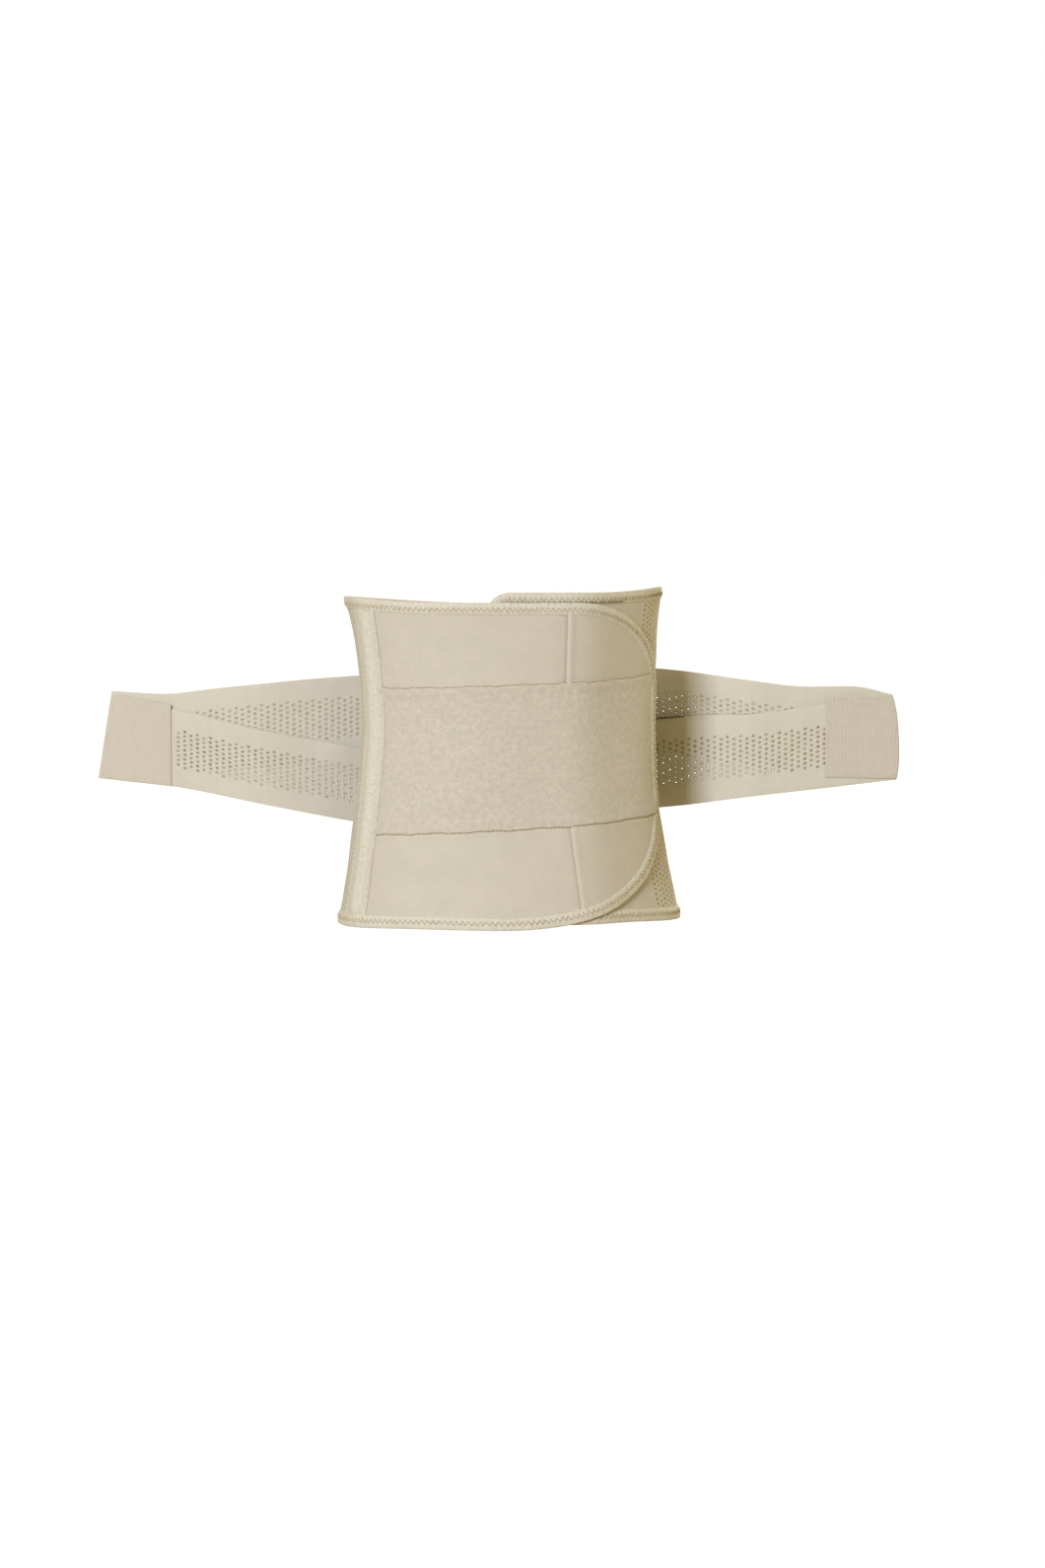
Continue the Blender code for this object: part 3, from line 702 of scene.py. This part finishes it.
# ---- bindings: tape folded over the top and bottom edges ----
def binding(name, path, side, place, on, nodes=()):
    """Tape folded over an edge, with a soft uneven face and one zigzag row of thread."""
    line = Along(path, side)
    length = line.length

    def wrapped(s, t, out):
        return place(*line.at(s, t), out)

    def relief(s, t):
        """Lumps, a rounded crown, and the rise over the stay casings that run under the tape."""
        g = line.at(s, t)[0]
        lumpy = 0.00022 * np.sin(s * 900 + 2 * np.sin(s * 171)) * np.sin(t * 420 + 1.0)
        crown = 0.0005 * np.sin(np.pi * np.clip(t / BINDING_WIDTH, 0, 1)) ** 0.8
        under = sum(np.exp(-(((g - spot) / (width * 0.42)) ** 4)) for spot, width in CASING_SPOTS[place])
        return lumpy + crown + 0.0011 * under

    def riding(s, t, out):
        return wrapped(s, t, out + relief(s, t))

    places = np.linspace(0.0, length, max(8, int(round(length / 0.0016))))
    shell(
        name + "_tape", wrapped, places, -0.0003, BINDING_WIDTH, BINDING_HALF, BINDING, on, nodes,
        relief=relief, free=(False, False),
    )
    middle = np.linspace((0.0, BINDING_WIDTH * 0.55), (length, BINDING_WIDTH * 0.55), 400)
    sew(name + "_tape_stitches", riding, middle, BINDING_HALF + 0.0001, BINDING_ROW, "edge_binding", on)


def build_bindings():
    for part, start, end, place, on in SIDES:
        for edge, z, side in (("top", HEIGHT, 1), ("bottom", 0.0, -1)):
            name = f"{part}_{edge}_binding"
            line = [(girth(start), z), (girth(end), z)]
            binding(name, line, side, place, on, [name] if part == "back" else [])
    overlap_nodes = ["overlap_top_binding", "overlap_bottom_binding", "flap_edge_binding"]
    binding("overlap_binding", OVERLAP, 1, on_overlap, FLAP_BEND, overlap_nodes)
    binding("underlap_binding", UNDERLAP, -1, on_back, "underlap_wing", ["underlap_edge_binding"])


# ---- overlap ----
def seam_at(g, side):
    """Height of the seam above (side 1) or below the loop panel, a little unevenly drawn."""
    drawn = 0.00035 * np.sin(g * 155 + side) + 0.00025 * np.sin(g * 410 + 2.0 * side)
    start, rise, power = UPPER_SEAM if side > 0 else LOWER_SEAM
    height = start + rise * np.clip((angle_of(g) + 151.0) / 130.0, 0.0, 1.0) ** power
    return height + (drawn + 0.00012 * np.sin(g * 1190))


def inside_seams(g, z):
    """How far inside the loop panel a place is from the nearer seam."""
    return np.minimum(seam_at(g, 1) - z, z - seam_at(g, -1))


def over_seam(edge, low, rise):
    """The loop panel lies higher along its edges, where it's sewn over the elastic."""
    return low + rise * (1 - smooth((edge - SEAM_LAP) / 0.005))


def slanted(g, z, out):
    """The flap's vertical seam leans: its cloth is drawn to the left above and to the right below."""
    near = 1 - smooth(np.abs(g - FLAP_SEAM) / 0.04)
    drawn = np.where(z > HEIGHT / 2, -0.002, 0.0002 + 0.0588 * (0.09 - z))
    return on_overlap(g + near * drawn, z, out)


def puckers(g, z):
    """Cloth drawn down into each seam and rising beside it, with small gathers from the thread."""
    found = 0.0 * g
    for side, rise in ((1, 0.00025), (-1, 0.00055)):
        away = side * (z - seam_at(g, side))
        gathers = np.sin(g * 780 + 3 * np.sin(g * 130))
        found = found - 0.00035 * bell(away - 0.0005, 0.0016)
        found = found + rise * bell(away - 0.0034, 0.0017)
        found = found + 0.00016 * gathers * bell(away - 0.003, 0.004)
    return found


def ridge(g, z):
    """The corner pieces stand up along the vertical seam."""
    rise = np.where(z > HEIGHT / 2, 0.0013, 0.0007)
    return rise * bell(g - FLAP_SEAM - 0.0028, 0.0024) + puckers(g, z)


def valley(g, z):
    """The strips sink towards the vertical seam, and their ends are tucked behind the corner pieces."""
    sunk = np.where(z > HEIGHT / 2, 0.0013, 0.0005) * bell(g - FLAP_SEAM, 0.0085)
    return -sunk - 0.0009 * smooth((g - FLAP_SEAM) / 0.001)


def build_strip(side, part, heights):
    """One elastic strip, above or below the loop panel, from the left seam to the flap's vertical seam."""
    gs = spread(LEFT_SEAM, angle_of(FLAP_SEAM), free=(False, False))
    gs = joined(gs, FLAP_SEAM + np.array([0.001, 0.0035]))
    name = f"overlap_{part}_elastic"
    shell(
        name + "_cloth", slanted, gs, *heights(gs, side), PANEL_HALF, ELASTIC, FLAP_BEND, [name],
        base=valley, relief=puckers, free=(False, True),
    )


def build_corner(side, part, heights, far):
    """One corner piece of the flap, sewn down its vertical seam. It gives back the girth where it ends."""
    trial = np.linspace(FLAP_SEAM, far - 0.0005, 400)
    low, high = heights(trial, side)
    end = float(trial[high - low > 0.003][-1])
    head = FLAP_SEAM + np.array([0.0003, 0.0007, 0.0015])
    gs = joined(head, np.arange(FLAP_SEAM + 0.003, end, 0.0022), [end])
    name = f"flap_{part}_corner"
    sizes = (*heights(gs, side), PANEL_HALF)
    shell(name + "_cloth", slanted, gs, *sizes, ELASTIC, FLAP_BEND, [name], relief=ridge)
    inner, g = float(seam_at(FLAP_SEAM, side)) + side * 0.002, FLAP_SEAM + 0.0006
    line = np.linspace((g, inner), (g, HEIGHT - 0.012 if side == 1 else 0.012), 60)
    row = DARK_ROW if side == 1 else PLAIN_ROW
    sew(f"flap_{part}_seam_stitches", slanted, line, PANEL_HALF - 0.0001, row, "elastic_fabric", FLAP_BEND)
    return end


def build_loop(floor, roof, far):
    """The overlap's loop panel, sewn over the strips."""

    def base(g, z):
        return over_seam(inside_seams(g, z), 0.0003, 0.0008)

    def relief(g, z):
        edge = inside_seams(g, z)
        gathers = 0.0002 * np.sin(g * 700 + 2.4 * np.sin(g * 97)) * bell(edge - 0.006, 0.006)
        return gathers - 0.0004 * bell(edge - 0.0034, 0.0008)

    main_part = np.linspace(girth(LEFT_SEAM), FLAP_SEAM, 90)
    flap_part = np.arange(FLAP_SEAM + 0.0025, far - 0.0012, 0.0025)
    gs = joined(main_part, flap_part, [far - 0.0008, far - 0.0003])
    low, high = np.maximum(seam_at(gs, -1), floor(gs)), np.minimum(seam_at(gs, 1), roof(gs))
    nodes = ["overlap_loop_panel", "flap_loop_panel"]
    shell(
        "overlap_loop_cloth", on_overlap, gs, low, high, LOOP_HALF, LOOP, FLAP_BEND, nodes,
        base=base, relief=relief, free=(False, True),
    )


def build_overlap():
    """Two elastic strips, their two corner pieces, and the loop panel whose folded edges lie on them."""
    (floor, roof), far = outline_limits(OVERLAP, 1)
    parts = ((1, "upper"), (-1, "lower"))

    def heights(g, side):
        if side == 1:
            return seam_at(g, 1) - SEAM_LAP, roof(g)
        return floor(g), seam_at(g, -1) + SEAM_LAP

    for side, part in parts:
        build_strip(side, part, heights)
    ends = {side: build_corner(side, part, heights, far) for side, part in parts}
    build_loop(floor, roof, far)
    for side, part in parts:
        g = np.linspace(girth(LEFT_SEAM), ends[side], 200)
        # The seam row is partly painted shadow: dark and nearly unbroken along the fold.
        rows = (("seam", -0.0003, 0.0012, SEAM_EDGE_SHADOW_ROW), ("top", 0.0034, 0.0013, TOP_ROW))
        for label, inset, out, row in rows:
            line = np.stack([g, seam_at(g, side) - side * inset], 1)
            sew(f"overlap_{part}_{label}_stitches", on_overlap, line, out, row, "plush_loop", FLAP_BEND)
    gs = spread(angle_of(FLAP_SEAM + HOOK_INSET), angle_of(far - HOOK_INSET))
    low, high = seam_at(gs, -1) + 0.006, seam_at(gs, 1) - 0.006
    name = "flap_hook_patch"
    shell(name + "_tape", on_overlap, gs, low, high, PATCH_HALF, HOOK, "overlap_flap", [name], base=-0.0014)


# ---- underlap ----
def build_underlap():
    """Two ribbed elastic strips with a loop panel between them."""
    limits, far = outline_limits(UNDERLAP, -1)
    start = girth(RIGHT_SEAM)
    gs = joined([far + 0.0003, far + 0.0008], np.arange(far + 0.0022, start, 0.003), [start])
    floor, roof = (limit(gs) for limit in limits)
    lower, upper = UNDERLAP_SEAMS

    def ribs(g, z):
        return 0.00012 * np.sin(g * 2 * math.pi / 0.0042)

    def lap(g, z):
        return over_seam(np.minimum(upper - z, z - lower), 0.0001, 0.00095)

    pieces = (
        ("lower_elastic", floor, np.minimum(lower + SEAM_LAP, roof), UNDERLAP_HALF, ELASTIC, 0.0, ribs),
        ("upper_elastic", np.maximum(upper - SEAM_LAP, floor), roof, UNDERLAP_HALF, ELASTIC, 0.0, ribs),
        ("loop_panel", np.maximum(lower, floor), np.minimum(upper, roof), THIN_LOOP_HALF, LOOP, lap, None),
    )
    for part, *sizes, base, relief in pieces:
        name = f"underlap_{part}"
        shell(
            name + "_cloth", on_back, gs, *sizes, "underlap_wing", [name],
            base=base, relief=relief, free=(True, False),
        )
    rows = (
        ("lower_seam", lower + 0.0034, far + 0.004, start, 0.0014, UNDERLAP_ROW, "plush_loop"),
        ("upper_seam", upper - 0.0034, far + 0.004, start, 0.0014, UNDERLAP_ROW, "plush_loop"),
        # Painted shadow: this near-black row stands in for the shade in the gap under the overlap's top edge.
        ("binding_edge", HEIGHT - 0.0082, far + 0.01, start - 0.026, 0.0019, GAP_SHADOW_ROW, "elastic_fabric"),
    )
    for label, z, g0, g1, out, row, slot in rows:
        line = np.linspace((g0, z), (g1, z), 80)
        sew(f"underlap_{label}_stitches", on_back, line, out, row, slot, "underlap_wing")


# ---- back and sides ----
def build_back():
    """Perforated elastic round the back and both sides, butted where the sides begin to bend."""
    low, high = BINDING_WIDTH - 0.003, HEIGHT - BINDING_WIDTH + 0.003
    for part, start, end, place, on in SIDES:
        g0, g1, nodes = girth(start), girth(end), ["back_panel"] if part == "back" else []
        honeycomb(
            part + "_mesh", place, g0, g1, low, high, lambda u, v: NARROW_HOLE, MESH, MESH_HALF,
            on, nodes, sides=6,
        )


# ---- casings and stays ----
def casing(name, place, centre, width, side, body, node, stay_node):
    """Tape sewn down along both edges over a flat spring-steel stay. side is -1 on an inner face, where
    the rows of thread are left out."""
    flange, arch, crown, end_gap = 0.0015, 0.0023, 0.005, 0.0095
    half_shares = np.array([0.15, 0.22, 0.3, 0.4, 0.47, 0.5])
    across = joined(-half_shares[::-1], [0.0], half_shares) * width

    def base(g, z):
        over_stay = 1 - smooth((np.abs(g - centre) - crown) / 0.0022)
        ends = smooth((z - end_gap) / 0.005) * smooth((HEIGHT - end_gap - z) / 0.005)
        return side * (flange + arch * over_stay * ends)

    gs, inset = centre + across, 0.0045
    shell(name + "_tape", place, gs, inset, HEIGHT - inset, CASING_HALF, CASING, body, [node], base=base)
    if side > 0:
        for edge, label in ((-1, "left"), (1, "right")):
            g = centre + edge * (width / 2 - 0.0016)
            line = np.linspace((g, 0.012), (g, HEIGHT - 0.012), 60)
            sew(f"{name}_stitches_{label}", place, line, flange + 0.00042, CASING_ROW, "seam_tape", body)
    gs, inset = centre + np.array([-0.004, -0.0038, 0.0, 0.0038, 0.004]), 0.014
    out, nodes = side * 0.0026, [stay_node]
    shell(name + "_steel", place, gs, inset, HEIGHT - inset, STEEL_HALF, STEEL, body, nodes, base=out)


def build_casings():
    for number, (centre, width) in enumerate(CASING_SPOTS[on_back], 1):
        nodes = f"back_stay_casing_{number}", f"back_stay_{number}"
        casing(f"back_casing_{number}", on_back, centre, width, 1, "back", *nodes)
    sides = (
        ("left", on_overlap, LEFT_CASING, 1, "overlap_wing"),
        ("right", on_back, RIGHT_CASING, -1, "underlap_wing"),
    )
    for label, place, (angle, along, width), side, body in sides:
        centre, nodes = girth(angle) + along, (f"{label}_side_casing", f"{label}_side_stay")
        casing(label + "_casing", place, centre, width, side, body, *nodes)


# ---- straps ----
# Heights of each band's top and bottom edge over the tab's middle, at distances in from the strap's end
STRAP_EDGES = {
    "left": {
        "patch": (((0.0, 0.0395), (0.058, 0.03)), ((0.0, -0.0345), (0.058, -0.042))),
        "upper": (
            ((0.0, 0.0418), (0.064, 0.04), (0.09, 0.0433), (0.133, 0.0477), (0.176, 0.0517), (0.3, 0.058)),
            ((0.0, -0.033), (0.07, -0.031), (0.16, -0.023), (0.3, -0.012)),
        ),
        "lower": (
            ((0.0, 0.0385), (0.064, 0.025), (0.12, 0.0115), (0.189, -0.0024), (0.3, -0.024)),
            ((0.0, -0.0345), (0.068, -0.0435), (0.133, -0.0568), (0.216, -0.0742), (0.3, -0.091)),
        ),
    },
    "right": {
        "patch": (((0.0, 0.0385), (0.064, 0.0367)), ((0.0, -0.0355), (0.064, -0.034))),
        "upper": (
            ((0.0, 0.0388), (0.023, 0.0442), (0.092, 0.0463), (0.14, 0.0524), (0.192, 0.0593), (0.29, 0.064)),
            ((0.0, -0.034), (0.11, -0.027), (0.19, -0.015), (0.29, -0.008)),
        ),
        "lower": (
            ((0.0, 0.038), (0.0725, 0.0295), (0.122, 0.022), (0.166, 0.021), (0.209, 0.0172), (0.29, 0.008)),
            ((0.0, -0.0362), (0.07, -0.0444), (0.131, -0.0514), (0.191, -0.06), (0.29, -0.07)),
        ),
    },
}


def strap_forward(d):
    """How far the strap has come forwards from the back's plane, at a distance from the belt's middle."""
    near, even_share = np.clip((d - 0.095) / 0.135, 0.0, 1.0), np.clip((d - 0.1) / 0.115, 0.0, 1.0)
    return STRAP_FORWARD * (0.35 * even_share + 0.65 * near * (2 - near))


def strap_place(side, band):
    strap = STRAPS[side]
    top, bottom = STRAP_EDGES[side][band]

    def place(d, v, out):
        """d from the belt's middle plane, v across the band, out away from the wearer."""
        run = strap["end"] - d
        share = v / BAND_WIDTH + 0.5
        z = TAB_HEIGHT + curve(bottom, run) * (1 - share) + curve(top, run) * share
        tip = smooth((d - strap["end"] + 0.06) / 0.06)
        shift = -strap["lean"] * (2 * share - 1) - strap["bulge"] * np.abs(2 * share - 1) ** 3
        x = CENTRE[0] + strap["sign"] * (d + tip * shift)
        away = 1 - smooth((d - 0.063) / 0.028)
        deep = DEPTH_RATIO * (half_width(LEFT_SHAPE, z) + half_width(RIGHT_SHAPE, z)) / 2
        across = np.minimum(d, 0.11) / RIGHT_SHAPE["waist"]
        against = deep * np.sqrt(np.clip(1 - across**2, 0, 1)) + 0.0036
        offset = {"upper": BAND_OFFSET, "lower": -BAND_OFFSET, "patch": 0.0}[band]
        wave = 0.0008 * np.sin(d * 24 + 3 * share + (1.3 if side == "left" else 0.2)) * (1 - away)
        if band == "lower":
            # Near the body the lower band stands a little proud of the upper one along its top edge
            wave = wave - 0.0045 * smooth((0.175 - d) / 0.035) * (1 - away) * smooth((share - 0.55) / 0.45)
        plane = STRAP_PLANE - strap_forward(d)
        y = CENTRE[1] + (1 - away) * plane + away * against + offset + wave + out
        return np.stack(np.broadcast_arrays(x, y, z), -1)

    return place


def mirrored(place):
    """The same place, counting outwards towards the wearer."""
    return lambda u, v, out: place(u, v, -out)


def strap_holes(side, band):
    """Holes show light through where nothing lies behind them, and are dark elsewhere."""
    end, edges = STRAPS[side]["end"], STRAP_EDGES[side]

    def zone(u, v):
        if abs(v) > HOLES_HALF or not ANCHOR_X + 0.012 < u < end - 0.062:
            return 0
        if band == "upper":
            return WIDE_HOLE if side == "right" and u < 0.166 else NARROW_HOLE
        top, bottom = (curve(edge, end - u) for edge in edges["lower"])
        height = bottom + (top - bottom) * (v / BAND_WIDTH + 0.5)
        covered = height > curve(edges["upper"][1], end - u)
        return NARROW_HOLE if covered else WIDE_HOLE

    return zone


def strap_bend(side, first, second, near, far, y):
    """Where a strap bends from one body to the next: two distances from the belt's middle plane."""
    spots = ((CENTRE[0] + STRAPS[side]["sign"] * d, y, 0.15) for d in (near, far))
    return first, second, *spots


def build_straps():
    half = BAND_WIDTH / 2
    cells = int(round((BAND_SPLIT - ANCHOR_X) / HOLE_PITCH[0]))
    for side, strap in STRAPS.items():
        swing = strap_bend(side, "back", f"{side}_strap_inner", 0.084, 0.116, 0.0977)
        bend = strap_bend(side, f"{side}_strap_inner", f"{side}_strap_outer", 0.19, 0.24, 0.0677)
        spans = (
            ("near", ANCHOR_X, BAND_SPLIT, 0, (False, False), swing, ("root", "inner")),
            ("far", BAND_SPLIT, strap["end"], cells, (False, True), bend, ("outer",)),
        )
        for band in ("lower", "upper"):
            name, place, zone = f"{side}_{band}_band", strap_place(side, band), strap_holes(side, band)
            for label, start, stop, first, free, on, nodes in spans:
                honeycomb(
                    f"{name}_{label}", place, start, stop, -half, half, zone, WEBBING, WEBBING_HALF,
                    on, [f"{name}_{node}" for node in nodes], first=first, free=free,
                )
        # On the right strap these rows are painted shadow for the gap between the bands; on the left they are
        # plain edge stitching.
        for start, stop, row in EDGE_ROWS[side]:
            line = [(start, half + 0.0001), (stop, half + 0.0001)]
            name = f"{side}_band_edge_stitches_{round(1000 * start)}"
            sew(name, mirrored(strap_place(side, "lower")), line, 0.0008, row, "perforated_webbing", bend)
        build_tab(side)
        build_anchor(side)


def build_tab(side):
    """The hook patch sewn on the front of the strap's end, and the tape backing behind it."""
    end, body = STRAPS[side]["end"], f"{side}_strap_outer"
    start, half = end - PATCH_LENGTH[side], BAND_WIDTH / 2
    place = strap_place(side, "patch")
    inner = np.linspace(start + EDGE[-1], end - 0.0017, 26)
    us = joined([start + e for e in EDGE[:-1]], inner, [end - 0.0009, end - 0.0005])

    def dented(u, v):
        """The tape dips along its row of thread."""
        edge = np.minimum(np.minimum(u - start, end - u), half - np.abs(v))
        return -0.00035 * bell(edge - 0.0024, 0.0007)

    out, front = BAND_OFFSET + WEBBING_HALF + 0.0006, mirrored(place)
    shell(
        f"{side}_hook_tape", front, us, -half, half, HOOK_HALF, HOOK, body, [f"{side}_hook_patch"],
        base=out, relief=dented,
    )
    nodes, under = [f"{side}_tab_backing"], out - 0.0001
    shell(f"{side}_tab_tape", place, us, -half, half, TAB_HALF, CASING, body, nodes, base=under)
    inset = 0.0024
    a, b, c = start + inset, end - inset - 0.0006, half - inset
    border = [(a, -c), (a, c), (b, c), (b, -c), (a, -c)]
    sew(f"{side}_tab_stitches_front", front, border, out + 0.0003, PLAIN_ROW, "hook_tape", body)
    sew(f"{side}_tab_stitches_rear", place, border, out + 0.0004, PLAIN_ROW, "seam_tape", body)


def build_anchor(side):
    """The tape that holds the bands' ends to the back, sewn to it along one edge and over the bands."""
    strap, edges = STRAPS[side], STRAP_EDGES[side]
    sign = strap["sign"]
    angle = 90.0 - sign * math.degrees(math.asin(ANCHOR_X / RIGHT_SHAPE["waist"]))
    centre = girth(angle)
    half_shares = np.array([0.12, 0.25, 0.42, 0.475, 0.5])
    across = joined(-half_shares[::-1], [0.0], half_shares) * ANCHOR_WIDTH
    run = strap["end"] - ANCHOR_X
    low = TAB_HEIGHT + float(curve(edges["lower"][1], run)) - 0.004
    high = TAB_HEIGHT + float(curve(edges["upper"][0], run)) + 0.004

    def base(g, z):
        return 0.0013 + 0.0046 * smooth((-sign * (g - centre) + 0.004) / 0.005)

    def on_rear(g, z, out):
        return on_waist(angle_of(g), z, out)

    def raised(g, z, out):
        return on_rear(g, z, out + base(g, z))

    name, gs, nodes = f"{side}_anchor_tape", centre + across, [f"{side}_strap_anchor"]
    shell(name, on_rear, gs, low, high, TAB_HALF, CASING, "back", nodes, base=base)
    for offset, label in ((-0.0062, "inner"), (0.0062, "outer")):
        g = centre - sign * offset
        line = np.linspace((g, low + 0.003), (g, high - 0.003), 50)
        sew(f"{side}_anchor_stitches_{label}", raised, line, 0.00055, ANCHOR_ROW, "seam_tape", "back")


# ---- stage, light and camera ----
def build_stage():
    """A white floor and background that only the camera sees, and a warm ambient light."""
    mesh = bpy.data.meshes.new("floor")
    spots = [(x * FLOOR_HALF, y * FLOOR_HALF, FLOOR_Z) for x, y in ((-1, -1), (1, -1), (1, 1), (-1, 1))]
    mesh.from_pydata(spots, [], [(0, 1, 2, 3)])
    floor = placed("floor", mesh)
    paper = bpy.data.materials.new("white_floor")
    paper.use_nodes = True
    sockets = paper.node_tree.nodes["Principled BSDF"].inputs
    sockets["Base Color"].default_value = (0.0, 0.0, 0.0, 1.0)
    sockets["Emission Color"].default_value = (1.0, 1.0, 1.0, 1.0)
    sockets["Emission Strength"].default_value = 1.0
    mesh.materials.append(paper)
    for rays in ("diffuse", "glossy", "shadow", "transmission"):
        setattr(floor, "visible_" + rays, False)
    world = bpy.data.worlds.new("studio")
    world.use_nodes = True
    nodes, link = world.node_tree.nodes, world.node_tree.links.new
    seen, mixed = nodes.new("ShaderNodeLightPath"), nodes.new("ShaderNodeMixShader")
    link(seen.outputs["Is Camera Ray"], mixed.inputs[0])
    backs = (nodes["Background"], AMBIENT), (nodes.new("ShaderNodeBackground"), (1.0, 1.0, 1.0))
    for socket, (back, colour) in enumerate(backs, 1):
        back.inputs[0].default_value = (*colour, 1.0)
        link(back.outputs[0], mixed.inputs[socket])
    link(mixed.outputs[0], nodes["World Output"].inputs[0])
    bpy.context.scene.world = world


def lamp(name, azimuth, elevation, distance, size, power, colour):
    """A square softbox; azimuth 0 is the camera's side and 90 the right of the picture."""
    data = bpy.data.lights.new(name, "AREA")
    data.energy, data.size, data.color = power, size, colour
    obj = placed(name, data)
    a, e = math.radians(azimuth), math.radians(elevation)
    target = Vector((0.0, 0.0, 0.14))
    direction = Vector((math.sin(a) * math.cos(e), -math.cos(a) * math.cos(e), math.sin(e)))
    obj.location = target + distance * direction
    obj.rotation_euler = (-direction).to_track_quat("-Z", "Y").to_euler()


def build_lights():
    lamp("key_softbox", -22.0, 16.0, 5.0, 1.25, 278.0, (0.71, 0.78, 0.885))
    lamp("left_fill", -80.0, 10.0, 3.0, 1.6, 5.0, (0.92, 0.92, 0.96))
    lamp("right_fill", 114.0, 10.0, 3.0, 1.6, 38.0, (0.95, 0.85, 0.68))
    lamp("rear_softbox", 160.0, 30.0, 3.0, 1.4, 80.0, (0.72, 0.79, 0.91))


def build_camera():
    data = bpy.data.cameras.new("camera")
    data.sensor_width = 36.0
    distance, tilt, width = 3.0, math.radians(4.0), 1.3515
    data.lens = 36.0 * distance / width
    data.clip_end = 100.0
    camera = placed("camera", data)
    target = Vector((0.0167, 0.0, 0.1186))
    camera.location = target + distance * Vector((0.0, -math.cos(tilt), math.sin(tilt)))
    camera.rotation_euler = (math.radians(90.0) - tilt, 0.0, 0.0)
    bpy.context.scene.camera = camera
    bpy.context.scene.view_settings.view_transform = "Standard"


def main():
    build_stage()
    build_lights()
    build_camera()
    build_back()
    build_bindings()
    build_overlap()
    build_underlap()
    build_casings()
    build_straps()
    for name, node in NODES.items():
        if not node.hide_render:
            node.data.materials.clear()
            node.data.materials.append(HOOK if "hook" in name else CASING)


main()
